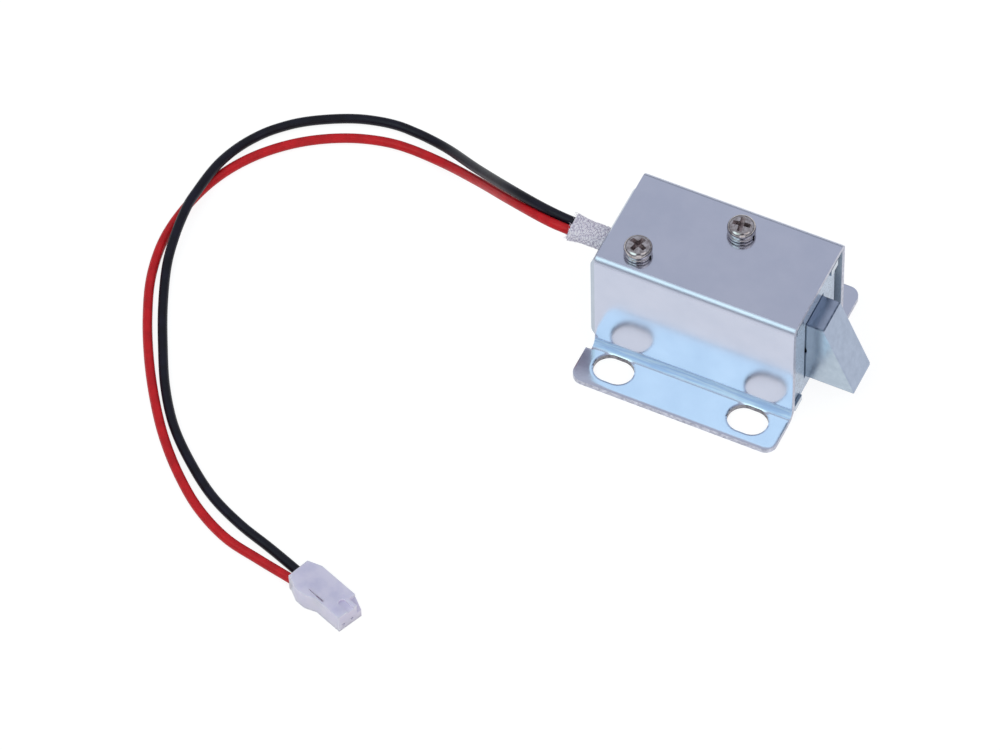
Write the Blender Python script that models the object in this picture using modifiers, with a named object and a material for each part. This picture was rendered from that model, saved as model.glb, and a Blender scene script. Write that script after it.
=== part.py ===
"""Small 12 V solenoid lock for a cabinet door or drawer.

A bent bracket with two slotted flanges carries a U-shaped solenoid frame. The coil in the frame pulls a
plunger and the slanted bolt inwards, and a spring pushes them out again. Metres, +X along the bolt, +Z up,
standing on the flanges with the origin under the middle of the lock's own box.

Lengths along X are counted from the left end of the bracket's top, heights from the flanges' underside.
"""

from math import atan2, cos, pi, radians, sin, sqrt

import bmesh
import bpy
from mathutils import Matrix, Vector

MM = 0.001

# Clearances
GAP = 0.3 * MM               # between pieces that touch or seat
WINDOW_GAP = 0.4 * MM        # round the bolt in its window
OVERCUT = 1.0 * MM           # how far a cutter stands past the wall that it cuts

# Bracket: a hat section bent from one sheet
BRACKET_LENGTH = 41.0 * MM
BRACKET_WIDTH = 23.4 * MM
BRACKET_HEIGHT = 27.4 * MM
BRACKET_SHEET = 1.2 * MM
TOP_BEND = 0.4 * MM          # inner radius
FLANGE_BEND = 1.6 * MM       # inner radius
FLANGE_WIDTH = 9.25 * MM     # from the wall's outer face
FLANGE_TAIL = 1.1 * MM       # how far the flanges stand out at the left
FLANGE_CORNER = 2.3 * MM
SLOT_LENGTH = 8.0 * MM
SLOT_WIDTH = 6.2 * MM
SLOT_OUT = 4.2 * MM          # from the wall's outer face to the slot's middle
SLOT_LEFT = 5.9 * MM         # from the bracket's left end to the slot's middle
SLOT_IN_RIGHT = 7.25 * MM    # from its right end
SLOT_RIGHT = BRACKET_LENGTH - SLOT_IN_RIGHT
BRACKET_TOP_INSIDE = BRACKET_HEIGHT - BRACKET_SHEET
BRACKET_WALL_INSIDE = BRACKET_WIDTH / 2 - BRACKET_SHEET

# Solenoid frame: a U of thick strip, lying on its side, and the plate that closes it
FRAME_SHEET = 1.6 * MM
FRAME_BOTTOM = 0.7 * MM      # above the flanges' underside
FRAME_BEND = 1.2 * MM        # inner radius
FRAME_OVERHANG = 1.5 * MM    # how far its closed end stands out at the left
FRAME_WALL_GAP = 0.4 * MM    # to the bracket's front wall
FRAME_REAR_GAP = 2.0 * MM    # to its rear wall
FRAME_TAB = 3.0 * MM         # width of the four tabs that hold the end plate
PLATE_SHEET = 1.6 * MM
PLATE_INSET = 0.6 * MM       # from the bracket's right end to the plate's face
PLATE_CORNER = 0.3 * MM
FRAME_TOP = BRACKET_TOP_INSIDE - GAP
FRAME_WIDTH = 2 * BRACKET_WALL_INSIDE - FRAME_WALL_GAP - FRAME_REAR_GAP
FRAME_ROOM = FRAME_TOP - FRAME_BOTTOM - 2 * FRAME_SHEET
FRAME_LEFT = -FRAME_OVERHANG
FRAME_INSIDE = FRAME_LEFT + FRAME_SHEET
PLATE_FACE = BRACKET_LENGTH - PLATE_INSET
PLATE_BACK = PLATE_FACE - PLATE_SHEET
AXIS_Y = -BRACKET_WALL_INSIDE + FRAME_WALL_GAP + FRAME_WIDTH / 2
AXIS_DROP = 0.4 * MM         # how far the bolt's axis lies under the frame's middle
AXIS_Z = (FRAME_TOP + FRAME_BOTTOM) / 2 - AXIS_DROP

# Bolt and what moves with it
STROKE = 9.0 * MM
BOLT_WIDTH = 7.6 * MM
BOLT_FLAT = 3.6 * MM         # level top outside the plate, before the slant
BOLT_NOSE = 6.5 * MM         # length of the slant
BOLT_TIP = 0.9 * MM          # height of the blunt tip
BOLT_EDGE = 0.25 * MM
SHOULDER = 1.4 * MM          # how far the shoulders stand out, above, below and at the sides
SHOULDER_ROOM = 1.45 * MM    # from a shoulder to the frame's leg, with the bolt in the frame's middle
SHOULDER_THICK = 1.6 * MM
CUSHION_THICK = 0.8 * MM
PIN_DIAMETER = 1.8 * MM
PIN_SHORT = 0.3 * MM         # how far each pin end lies inside the bolt's side
STUB_DIAMETER = 5.0 * MM
STUB_PAST_PIN = 1.8 * MM
BOLT_HEIGHT = FRAME_ROOM - 2 * (SHOULDER + SHOULDER_ROOM)
CUSHION_FRONT = PLATE_BACK - GAP
CUSHION_REAR = CUSHION_FRONT - CUSHION_THICK
SHOULDER_FRONT = CUSHION_REAR - GAP
SHOULDER_REAR = SHOULDER_FRONT - SHOULDER_THICK
PIN_X = PLATE_BACK + PIN_DIAMETER / 2 - WINDOW_GAP
STUB_END = PIN_X + STUB_PAST_PIN
BOLT_END = PLATE_FACE + BOLT_FLAT + BOLT_NOSE

# Coil, pole and guide
BOBBIN_LENGTH = 20.6 * MM
BOBBIN_SIDE = 0.5 * MM       # from the bobbin's flange to the nearest side of the frame's room
BOBBIN_FLANGE_THICK = 1.2 * MM
BOBBIN_WALL = 0.8 * MM
TUBE_WALL = 0.4 * MM
WINDING_SHARE = 0.2625       # depth of the winding, of the plunger's diameter
TAPE_THICK = 0.3 * MM
POLE_LENGTH = 8.6 * MM
POLE_RIM = 1.1 * MM          # from the pole's side to its recess
POLE_FLOOR_SHARE = 0.325     # of the pole's diameter
POLE_RECESS_DEPTH = 2.4 * MM
RIVET_DIAMETER = 4.0 * MM
RIVET_HEAD = 6.0 * MM
RIVET_THICK = 0.5 * MM
DISC_THICK = 0.4 * MM
PLUNGER_TIP = 2.8 * MM       # length of the cone that enters the pole
BOBBIN_FLANGE = min(FRAME_WIDTH, FRAME_ROOM) - 2 * BOBBIN_SIDE
COIL_WALLS = TAPE_THICK + BOBBIN_WALL + TUBE_WALL + 4 * GAP
PLUNGER_DIAMETER = (BOBBIN_FLANGE - 2 * COIL_WALLS) / (1 + 2 * WINDING_SHARE)
POLE_RECESS_MOUTH = PLUNGER_DIAMETER - 2 * POLE_RIM
POLE_RECESS_FLOOR = POLE_FLOOR_SHARE * PLUNGER_DIAMETER
TUBE_BORE = PLUNGER_DIAMETER + 2 * GAP
TUBE_DIAMETER = TUBE_BORE + 2 * TUBE_WALL
BOBBIN_BORE = TUBE_DIAMETER + 2 * GAP
BOBBIN_CORE = BOBBIN_BORE + 2 * BOBBIN_WALL
BOBBIN_LEFT = FRAME_INSIDE + GAP
BOBBIN_RIGHT = BOBBIN_LEFT + BOBBIN_LENGTH
WINDING_LEFT = BOBBIN_LEFT + BOBBIN_FLANGE_THICK + GAP
WINDING_RIGHT = BOBBIN_RIGHT - BOBBIN_FLANGE_THICK - GAP
TAPE_BORE = BOBBIN_FLANGE - 2 * TAPE_THICK
WINDING_DIAMETER = TAPE_BORE - 2 * GAP
POLE_LEFT = FRAME_INSIDE + GAP
POLE_FACE = POLE_LEFT + POLE_LENGTH
DISC_LEFT = POLE_FACE + GAP
PLUNGER_BACK = DISC_LEFT + DISC_THICK + GAP + STROKE
RIVET_LEFT = FRAME_LEFT - GAP - RIVET_THICK

# Return spring and its seat
SPRING_WIRE = 0.5 * MM
SPRING_CLEAR = 0.45 * MM     # from the plunger to the wire
SPRING_MEAN = PLUNGER_DIAMETER + 2 * SPRING_CLEAR + SPRING_WIRE
SPRING_TURNS = 7
SPRING_POINTS = 16           # to a turn
SEAT_THICK = 0.5 * MM
SEAT_RIM = 1.55 * MM         # how far the seat stands out past the spring
SEAT_DIAMETER = SPRING_MEAN + SPRING_WIRE + 2 * SEAT_RIM
SEAT_LEFT = BOBBIN_RIGHT + GAP
SPRING_LEFT = SEAT_LEFT + SEAT_THICK + GAP
SPRING_RIGHT = SHOULDER_REAR - GAP

# Screws through the bracket's top into the frame
SCREW_X = {"left": 6.9 * MM, "right": 22.5 * MM}
SCREW_FROM_EDGE = 3.1 * MM   # from the frame's edge
SCREW_SPREAD = FRAME_WIDTH / 2 - SCREW_FROM_EDGE
SCREW_TURN = {"left": -20.0, "right": 8.0}
SCREW_DIAMETER = 3.0 * MM
SCREW_HEAD = 5.5 * MM
SCREW_HEAD_HEIGHT = 1.8 * MM
SCREW_CROWN = 0.6 * MM       # height of the head's domed part
SCREW_LENGTH = 6.0 * MM
CROSS_LENGTH = 3.0 * MM
CROSS_WIDTH = 0.75 * MM
CROSS_DEPTH = 1.3 * MM
LOCK_THICK = 0.6 * MM
LOCK_RISE = 0.15 * MM        # how far one end of the split washer springs up
LOCK_DIAMETER = 5.4 * MM
LOCK_SPLIT = 14.0            # degrees left open
HOLE_DIAMETER = SCREW_DIAMETER + 2 * GAP
LOCK_BOTTOM = BRACKET_HEIGHT + GAP
HEAD_BOTTOM = LOCK_BOTTOM + LOCK_THICK + LOCK_RISE + GAP

# Wires and the sleeve that they leave through
WIRE_DIAMETER = 1.6 * MM
WIRE_STEP = 2.4              # wire diameters between the points of the drawn line
WIRE_LIFT = 0.05 * MM        # under a wire that lies on the floor
SLEEVE_WALL = 0.4 * MM
SLEEVE_LENGTH = 9.0 * MM     # from the frame's inner face to the frayed end
SLEEVE_FLARE = 0.45 * MM     # how far the frayed end opens, each side
SLEEVE_Y = -2.5 * MM
SLEEVE_DOWN = 4.2 * MM       # from the frame's top to the wires' middle
SLEEVE_Z = FRAME_TOP - SLEEVE_DOWN
WIRE_PITCH = WIRE_DIAMETER + GAP
SLEEVE_HEIGHT = WIRE_DIAMETER + 2 * (SLEEVE_WALL + GAP)
SLEEVE_WIDTH = SLEEVE_HEIGHT + WIRE_PITCH + GAP
LUG_HEIGHT = 2.0 * MM        # how far the lead lug stands above the wires' middle
LUG_WIDTH = WIRE_PITCH + WIRE_DIAMETER + 2 * GAP

# Each wire's line on its way to the plug, from the sleeve to just before the plug
BLACK_ROUTE = [
    (-15.1, -0.8, 21.5), (-24.3, 2.8, 18.1), (-35.5, 10.9, 9.2), (-46.1, 17.9, 2.4), (-54.9, 19.8, 0.9),
    (-62.8, 18.7, 0.9), (-69.9, 15.6, 0.9), (-76.3, 11.1, 0.9), (-81.3, 4.8, 1.1), (-83.7, -3.9, 2.4),
    (-84.5, -13.2, 2.9), (-84.5, -17.5, 2.9), (-83.7, -23.6, 2.3), (-82.1, -29.9, 1.2), (-78.5, -38.5, 0.9),
    (-74.2, -46.9, 0.9), (-69.5, -55.1, 0.9), (-63.9, -62.5, 0.9), (-57.2, -68.7, 0.9), (-50.0, -73.9, 0.9),
    (-42.3, -77.5, 0.9), (-34.4, -80.1, 1.0),
]
RED_ROUTE = [
    (-14.0, -2.9, 20.9), (-23.3, 1.3, 16.9), (-34.5, 9.2, 8.0), (-44.9, 14.6, 1.9), (-53.5, 15.6, 0.9),
    (-61.2, 14.2, 0.9), (-68.3, 11.0, 0.9), (-74.5, 6.4, 0.9), (-79.7, 0.4, 0.9), (-83.4, -6.8, 0.9),
    (-85.4, -15.2, 0.9), (-85.7, -24.1, 0.9), (-83.8, -33.1, 0.9), (-80.1, -41.8, 0.9), (-75.5, -50.2, 0.9),
    (-70.3, -58.1, 0.9), (-64.6, -65.4, 0.9), (-58.2, -71.9, 0.9), (-51.1, -77.5, 0.9), (-43.3, -81.4, 0.9),
    (-35.3, -83.2, 1.0),
]

# Plug, in its own axes: X from the wire end to the mating end, Z up
PLUG_AT = Vector((-27.0, -84.0, 0.0)) * MM
PLUG_HEADING = -20.5         # degrees
PLUG_LENGTH = 13.5 * MM
PLUG_HEIGHT = 4.4 * MM
PLUG_LEFT_SIDE = 3.7 * MM    # from the wires' middle line
PLUG_RIGHT_SIDE = 2.2 * MM
PLUG_COLLAR = 2.8 * MM       # length of the wire end, which narrows
PLUG_COLLAR_IN = 1.1 * MM
PLUG_NOSE = 2.0 * MM         # length of the lower and narrower mating end
PLUG_NOSE_DOWN = 1.0 * MM
PLUG_NOSE_IN = 0.9 * MM
PLUG_EDGE = 0.3 * MM
LATCH_OUT = 1.0 * MM         # how far the latch pad stands out
LATCH_START = 0.6 * MM
LATCH_PAD = 2.2 * MM
LATCH_END = 7.4 * MM
LATCH_SLIT = 0.4 * MM
LATCH_SLIT_LENGTH = 3.8 * MM
CAVITY = 1.5 * MM
CONTACT_PITCH = 2.0 * MM
CONTACT_Z = 1.4 * MM
CONTACT_WIDTH = CAVITY - 2 * GAP
CONTACT_LENGTH = 9.0 * MM
CONTACT_START = 2.0 * MM
CONTACT_BORE = 0.5 * MM
CONTACT_BORE_DEPTH = 5.0 * MM

# The lock's own box runs from the rivet's head to the tip of the bolt
MIDDLE_X = (RIVET_LEFT + BOLT_END) / 2

ROUND_STEPS = 40
ARC_STEPS = 6

# Finish of each material: sRGB colour, metallic, roughness
FINISHES = {
    "zinc_plate": ((190, 203, 222), 1.0, 0.28),
    "zinc_frame": ((172, 188, 206), 1.0, 0.36),
    "bolt_steel": ((158, 172, 192), 1.0, 0.34),
    "nickel": ((196, 196, 200), 1.0, 0.18),
    "pure_iron": ((160, 162, 166), 1.0, 0.4),
    "spring_steel": ((150, 152, 158), 1.0, 0.3),
    "brass": ((196, 164, 92), 1.0, 0.3),
    "white_nylon": ((232, 230, 224), 0.0, 0.5),
    "black_rubber": ((34, 34, 36), 0.0, 0.8),
    "copper_enamel": ((168, 84, 44), 0.6, 0.35),
    "yellow_tape": ((214, 180, 70), 0.0, 0.45),
    "glass_braid": ((226, 226, 228), 0.0, 0.85),
    "black_wire": ((24, 26, 30), 0.0, 0.4),
    "red_wire": ((196, 28, 36), 0.0, 0.4),
    "plug_nylon": ((204, 204, 224), 0.0, 0.45),
    "tin": ((190, 190, 188), 1.0, 0.3),
}


def clear_scene():
    """Remove whatever the scene holds."""
    for old in list(bpy.data.objects):
        bpy.data.objects.remove(old, do_unlink=True)


def collection(name):
    made = bpy.data.collections.new(name)
    bpy.context.scene.collection.children.link(made)
    return made


clear_scene()
LOCK = collection("electromagnetic_lock")
CUTTERS = collection("cutters")


def linear(value):
    """One sRGB channel, 0 to 255, as linear light."""
    value /= 255
    return value / 12.92 if value <= 0.04045 else ((value + 0.055) / 1.055) ** 2.4


def finish(name):
    """The material of one finish, made the first time that it is asked for."""
    if name in bpy.data.materials:
        return bpy.data.materials[name]
    colour, metallic, roughness = FINISHES[name]
    made = bpy.data.materials.new(name)
    made.use_nodes = True
    shader = made.node_tree.nodes["Principled BSDF"]
    shader.inputs["Base Color"].default_value = [linear(part) for part in colour] + [1.0]
    shader.inputs["Metallic"].default_value = metallic
    shader.inputs["Roughness"].default_value = roughness
    made.diffuse_color = [linear(part) for part in colour] + [1.0]
    return made


def add_object(name, data, parent=None, home=LOCK):
    """Link an object of this data, under the empty that carries the whole lock."""
    made = bpy.data.objects.new(name, data)
    home.objects.link(made)
    made.parent = parent or CARRIER
    return made


def empty(name, location, turn=0.0, parent=None):
    made = add_object(name, None, parent)
    made.location = location
    made.rotation_euler.z = radians(turn)
    return made


CARRIER = bpy.data.objects.new("lock_carrier", None)
LOCK.objects.link(CARRIER)
CARRIER.location.x = -MIDDLE_X
BOLT_AXIS = empty("bolt_axis", (0, AXIS_Y, AXIS_Z))
PLUG_PLACE = empty("plug_place", PLUG_AT, PLUG_HEADING)


def piece(name, shape, finish_name, parent=None):
    """A named sub-part from a bmesh or curve data, with its own finish."""
    if isinstance(shape, bmesh.types.BMesh):
        bmesh.ops.recalc_face_normals(shape, faces=shape.faces)
        mesh = bpy.data.meshes.new(name)
        shape.to_mesh(mesh)
        shape.free()
        shape = mesh
    made = add_object(name, shape, parent)
    made.data.materials.append(finish(finish_name))
    return made


def cutter(name, shape, parent=None):
    bmesh.ops.recalc_face_normals(shape, faces=shape.faces)
    mesh = bpy.data.meshes.new(name)
    shape.to_mesh(mesh)
    shape.free()
    made = add_object(name, mesh, parent, CUTTERS)
    made.hide_render = True
    made.display_type = "WIRE"
    return made


def boolean(made, tool, operation="DIFFERENCE"):
    change = made.modifiers.new(tool.name, "BOOLEAN")
    change.operation = operation
    change.object = tool
    change.solver = "EXACT"


def bevel(made, width, segments=2, angle=40.0):
    change = made.modifiers.new("edges", "BEVEL")
    change.width = width
    change.segments = segments
    change.limit_method = "ANGLE"
    change.angle_limit = radians(angle)


def box(shape, low, high):
    """Add a box between two corners to a bmesh."""
    low = Vector(low)
    high = Vector(high)
    place = Matrix.Translation((low + high) / 2) @ Matrix.Diagonal((*(high - low), 1))
    return bmesh.ops.create_cube(shape, size=1, matrix=place)["verts"]


def cylinder(shape, radius, start, end, steps=ROUND_STEPS):
    """Add a cylinder between two points to a bmesh."""
    start = Vector(start)
    end = Vector(end)
    along = end - start
    turn = Vector((0, 0, 1)).rotation_difference(along).to_matrix().to_4x4()
    place = Matrix.Translation((start + end) / 2) @ turn
    bmesh.ops.create_cone(
        shape, cap_ends=True, segments=steps, radius1=radius, radius2=radius, depth=along.length, matrix=place
    )


def prism(shape, corners, travel):
    """Add a flat outline carried along a vector to a bmesh."""
    face = shape.faces.new([shape.verts.new(corner) for corner in corners])
    grown = bmesh.ops.extrude_face_region(shape, geom=[face])
    moved = [part for part in grown["geom"] if isinstance(part, bmesh.types.BMVert)]
    bmesh.ops.translate(shape, verts=moved, vec=travel)


def obround(shape, length, width, low, high, axis):
    """Add a slot-shaped prism: its two round ends lie along X or, for an X axis, along Y."""
    radius = width / 2
    half = length / 2 - radius
    low = Vector(low)
    high = Vector(high)
    along = Vector((0, 1, 0)) if axis == "X" else Vector((1, 0, 0))
    ring = []
    for step in range(ROUND_STEPS):
        angle = 2 * pi * (step + 0.5) / ROUND_STEPS
        side = half if cos(angle) > 0 else -half
        offset = along * (side + radius * cos(angle))
        across = Vector((0, 0, 1)) if axis == "X" else Vector((0, 1, 0))
        ring.append(low + offset + across * radius * sin(angle))
    prism(shape, ring, high - low)


def arc(centre, radius, start, end, steps=ARC_STEPS):
    """Points of an arc in a plane, angles in degrees."""
    points = []
    for step in range(steps + 1):
        angle = radians(start + (end - start) * step / steps)
        points.append((centre[0] + radius * cos(angle), centre[1] + radius * sin(angle)))
    return points


def strip(points, start, end, spread):
    """An open sheet: a line in a plane, carried across from start to end; spread places each point."""
    shape = bmesh.new()
    row = [shape.verts.new(spread(point, start)) for point in points]
    for first, second in zip(row, row[1:]):
        shape.edges.new((first, second))
    grown = bmesh.ops.extrude_edge_only(shape, edges=shape.edges[:])
    moved = [part for part in grown["geom"] if isinstance(part, bmesh.types.BMVert)]
    bmesh.ops.translate(shape, verts=moved, vec=spread(points[0], end) - spread(points[0], start))
    return shape


def solidify(made, thickness, offset=0.0):
    change = made.modifiers.new("sheet", "SOLIDIFY")
    change.thickness = thickness
    change.offset = offset
    change.use_even_offset = True


def turned(name, profile, finish_name, parent=None, steps=ROUND_STEPS):
    """A turned piece on the bolt's axis: profile points are (distance along X, radius).

    The line runs from the right end to the left along the outside, so the faces point out.
    """
    shape = bmesh.new()
    row = [shape.verts.new((radius, 0, along)) for along, radius in profile]
    for first, second in zip(row, row[1:]):
        shape.edges.new((first, second))
    if profile[0][1] > 0:
        shape.edges.new((row[-1], row[0]))
    mesh = bpy.data.meshes.new(name)
    shape.to_mesh(mesh)
    shape.free()
    made = add_object(name, mesh, parent or BOLT_AXIS)
    made.data.materials.append(finish(finish_name))
    made.rotation_euler.y = pi / 2
    spin = made.modifiers.new("turn", "SCREW")
    spin.axis = "Z"
    spin.steps = steps
    spin.render_steps = steps
    spin.use_merge_vertices = True
    spin.merge_threshold = 0.00001
    spin.use_smooth_shade = False
    return made


def ring_profile(left, right, outer, inner):
    """Profile of a plain tube, from diameters."""
    return [(right, outer / 2), (left, outer / 2), (left, inner / 2), (right, inner / 2)]


def outline(name, loops, half_thick, finish_name, parent=None):
    """A flat piece: closed outlines filled in the curve's own XY plane."""
    data = bpy.data.curves.new(name, "CURVE")
    data.dimensions = "2D"
    data.fill_mode = "BOTH"
    data.extrude = half_thick
    for loop in loops:
        line = data.splines.new("POLY")
        line.points.add(len(loop) - 1)
        for point, (x, y) in zip(line.points, loop):
            point.co = (x, y, 0, 1)
        line.use_cyclic_u = True
    return piece(name, data, finish_name, parent)


def wire_object(name, points, radius, finish_name, parent=None, resolution=2):
    """A round wire with closed ends along a line of points."""
    data = bpy.data.curves.new(name, "CURVE")
    data.dimensions = "3D"
    data.bevel_depth = radius
    data.bevel_resolution = resolution
    data.use_fill_caps = True
    line = data.splines.new("POLY")
    line.points.add(len(points) - 1)
    for point, place in zip(line.points, points):
        point.co = (*place, 1)
    return piece(name, data, finish_name, parent)


def bracket_section():
    """The middle line of the bracket's section, from the front flange's edge to the rear one's."""
    half = BRACKET_SHEET / 2
    radius = TOP_BEND + half
    foot_radius = FLANGE_BEND + half
    wall = BRACKET_WIDTH / 2 - half
    edge = BRACKET_WIDTH / 2 + FLANGE_WIDTH
    top = BRACKET_HEIGHT - half
    foot = [(-edge, half)]
    foot += arc((-wall - foot_radius, half + foot_radius), foot_radius, -90, 0, 2 * ARC_STEPS)
    foot += arc((-wall + radius, top - radius), radius, 180, 90)
    return foot + [(-y, z) for y, z in reversed(foot)]


def slot_places():
    """Middle of each of the four flange slots."""
    out = BRACKET_WIDTH / 2 + SLOT_OUT
    return [(x, y) for x in (SLOT_LEFT, SLOT_RIGHT) for y in (-out, out)]


def screw_place(side):
    across = SCREW_SPREAD if side == "right" else -SCREW_SPREAD
    return SCREW_X[side], AXIS_Y + across


def mounting_bracket():
    """Bent sheet with slotted flanges that run on a little at the left."""
    edge = BRACKET_WIDTH / 2 + FLANGE_WIDTH
    bend_top = BRACKET_SHEET + FLANGE_BEND
    shape = strip(bracket_section(), -FLANGE_TAIL, BRACKET_LENGTH, lambda p, x: Vector((x, p[0], p[1])))
    made = piece("mounting_bracket", shape, "zinc_plate")
    solidify(made, BRACKET_SHEET)

    tool = bmesh.new()
    wall_side = BRACKET_WIDTH / 2 + FLANGE_BEND
    left = -FLANGE_TAIL - OVERCUT
    box(tool, (left, -wall_side, -OVERCUT), (0, wall_side, BRACKET_HEIGHT + OVERCUT))
    boolean(made, cutter("bracket_left_cut", tool))

    tool = bmesh.new()
    corners = box(tool, (-FLANGE_TAIL, -edge, -OVERCUT), (BRACKET_LENGTH, edge, BRACKET_HEIGHT + OVERCUT))
    upright = [line for line in tool.edges if abs(line.verts[0].co.z - line.verts[1].co.z) > bend_top]
    bmesh.ops.bevel(tool, geom=upright, offset=FLANGE_CORNER, segments=ARC_STEPS, profile=0.5, affect="EDGES")
    boolean(made, cutter("bracket_corner_trim", tool), "INTERSECT")

    tool = bmesh.new()
    for x, y in slot_places():
        obround(tool, SLOT_LENGTH, SLOT_WIDTH, (x, y, -OVERCUT), (x, y, BRACKET_SHEET + OVERCUT), "Z")
    for side in SCREW_X:
        x, y = screw_place(side)
        low = BRACKET_TOP_INSIDE - OVERCUT
        cylinder(tool, HOLE_DIAMETER / 2, (x, y, low), (x, y, BRACKET_HEIGHT + OVERCUT))
    boolean(made, cutter("bracket_holes", tool))
    return made


def solenoid_frame():
    """U-shaped yoke: closed at the left, with four tabs that reach past the end plate."""
    half = FRAME_SHEET / 2
    radius = FRAME_BEND + half
    left = FRAME_LEFT + half
    low = FRAME_BOTTOM + half
    high = FRAME_TOP - half
    line = [(BRACKET_LENGTH, high)]
    line += arc((left + radius, high - radius), radius, 90, 180)
    line += arc((left + radius, low + radius), radius, 180, 270)
    line.append((BRACKET_LENGTH, low))
    side = FRAME_WIDTH / 2
    shape = strip(line, AXIS_Y - side, AXIS_Y + side, lambda p, y: Vector((p[0], y, p[1])))
    made = piece("solenoid_frame", shape, "zinc_frame")
    solidify(made, FRAME_SHEET)

    tool = bmesh.new()
    inner = side - FRAME_TAB
    box(
        tool,
        (PLATE_BACK - GAP, AXIS_Y - inner, FRAME_BOTTOM - OVERCUT),
        (BRACKET_LENGTH + OVERCUT, AXIS_Y + inner, FRAME_TOP + OVERCUT),
    )
    cylinder(
        tool,
        RIVET_DIAMETER / 2 + GAP,
        (FRAME_LEFT - OVERCUT, AXIS_Y, AXIS_Z),
        (FRAME_INSIDE + OVERCUT, AXIS_Y, AXIS_Z),
    )
    for screw_side in SCREW_X:
        x, y = screw_place(screw_side)
        bottom = FRAME_TOP - FRAME_SHEET - OVERCUT
        cylinder(tool, HOLE_DIAMETER / 2, (x, y, bottom), (x, y, FRAME_TOP + OVERCUT))
    boolean(made, cutter("frame_cuts", tool))

    tool = bmesh.new()
    obround(
        tool,
        SLEEVE_WIDTH + 2 * GAP,
        SLEEVE_HEIGHT + 2 * GAP,
        (FRAME_LEFT - OVERCUT, SLEEVE_Y, SLEEVE_Z),
        (FRAME_INSIDE + OVERCUT, SLEEVE_Y, SLEEVE_Z),
        "X",
    )
    boolean(made, cutter("frame_sleeve_hole", tool))
    return made


def end_plate():
    """Plate between the frame's legs, notched round the four tabs, with the bolt's window."""
    wide = FRAME_WIDTH / 2
    inner = wide - FRAME_TAB - GAP
    low = FRAME_BOTTOM + GAP
    high = FRAME_TOP - GAP
    step_low = FRAME_BOTTOM + FRAME_SHEET + GAP
    step_high = FRAME_TOP - FRAME_SHEET - GAP
    quarter = [(inner, high), (inner, step_high), (wide, step_high), (wide, step_low), (inner, step_low)]
    quarter.append((inner, low))
    edge = quarter + [(-y, z) for y, z in reversed(quarter)]
    window_y = BOLT_WIDTH / 2 + WINDOW_GAP
    window_z = BOLT_HEIGHT / 2 + WINDOW_GAP
    window = []
    turn = PLATE_CORNER
    for side_y, side_z, start in ((1, 1, 0), (-1, 1, 90), (-1, -1, 180), (1, -1, 270)):
        centre = (side_y * (window_y - turn), AXIS_Z + side_z * (window_z - turn))
        window += arc(centre, turn, start, start + 90, 2)
    made = outline("end_plate", [edge, window], PLATE_SHEET / 2, "zinc_frame")
    made.location = (PLATE_FACE - PLATE_SHEET / 2, AXIS_Y, 0)
    made.rotation_euler = (pi / 2, 0, pi / 2)
    return made


def bolt():
    """Slanted bolt with shoulders behind the end plate and a bore for the plunger's stub."""
    high = BOLT_HEIGHT / 2
    flat_end = PLATE_FACE + BOLT_FLAT
    side = [
        (SHOULDER_REAR, -high), (BOLT_END, -high), (BOLT_END, -high + BOLT_TIP), (flat_end, high),
        (SHOULDER_REAR, high),
    ]
    shape = bmesh.new()
    prism(shape, [(x, -BOLT_WIDTH / 2, z) for x, z in side], (0, BOLT_WIDTH, 0))
    made = piece("bolt", shape, "bolt_steel", BOLT_AXIS)
    bevel(made, BOLT_EDGE)

    tool = bmesh.new()
    wide = BOLT_WIDTH / 2 + SHOULDER
    tall = high + SHOULDER
    box(tool, (SHOULDER_REAR, -wide, -tall), (SHOULDER_FRONT, wide, tall))
    boolean(made, cutter("bolt_shoulders", tool, BOLT_AXIS), "UNION")

    tool = bmesh.new()
    cylinder(tool, STUB_DIAMETER / 2 + GAP, (SHOULDER_REAR - OVERCUT, 0, 0), (STUB_END + GAP, 0, 0))
    boolean(made, cutter("bolt_bore", tool, BOLT_AXIS))

    tool = bmesh.new()
    reach = BOLT_WIDTH / 2 + OVERCUT
    cylinder(tool, PIN_DIAMETER / 2 + GAP, (PIN_X, -reach, 0), (PIN_X, reach, 0), 24)
    boolean(made, cutter("bolt_pin_hole", tool, BOLT_AXIS))
    return made


def bolt_pin():
    shape = bmesh.new()
    reach = BOLT_WIDTH / 2 - PIN_SHORT
    cylinder(shape, PIN_DIAMETER / 2, (PIN_X, -reach, 0), (PIN_X, reach, 0), 24)
    return piece("bolt_pin", shape, "nickel", BOLT_AXIS)


def stop_cushion():
    """Soft frame on the bolt's shoulders that lands on the end plate."""
    wide = BOLT_WIDTH / 2
    tall = BOLT_HEIGHT / 2
    outer = [(wide + SHOULDER, tall + SHOULDER), (-wide - SHOULDER, tall + SHOULDER)]
    outer += [(-y, -z) for y, z in outer]
    inner = [(wide + GAP, tall + GAP), (-wide - GAP, tall + GAP)]
    inner += [(-y, -z) for y, z in inner]
    made = outline("stop_cushion", [outer, inner], CUSHION_THICK / 2, "black_rubber", BOLT_AXIS)
    made.location.x = CUSHION_FRONT - CUSHION_THICK / 2
    made.rotation_euler = (pi / 2, 0, pi / 2)
    return made


def plunger():
    """Armature: cone to the left, stub with a cross hole to the right."""
    radius = PLUNGER_DIAMETER / 2
    base, tip = plunger_cone()
    stub = STUB_DIAMETER / 2
    profile = [
        (STUB_END, 0), (STUB_END, stub), (SHOULDER_REAR - GAP, stub), (SHOULDER_REAR - GAP, radius),
        (PLUNGER_BACK, radius), (PLUNGER_BACK, base), (PLUNGER_BACK - PLUNGER_TIP, tip),
        (PLUNGER_BACK - PLUNGER_TIP, 0),
    ]
    made = turned("plunger", profile, "pure_iron")
    tool = bmesh.new()
    cylinder(tool, PIN_DIAMETER / 2 + GAP, (PIN_X, -radius, 0), (PIN_X, radius, 0), 24)
    boolean(made, cutter("plunger_pin_hole", tool, BOLT_AXIS))
    return made


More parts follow.
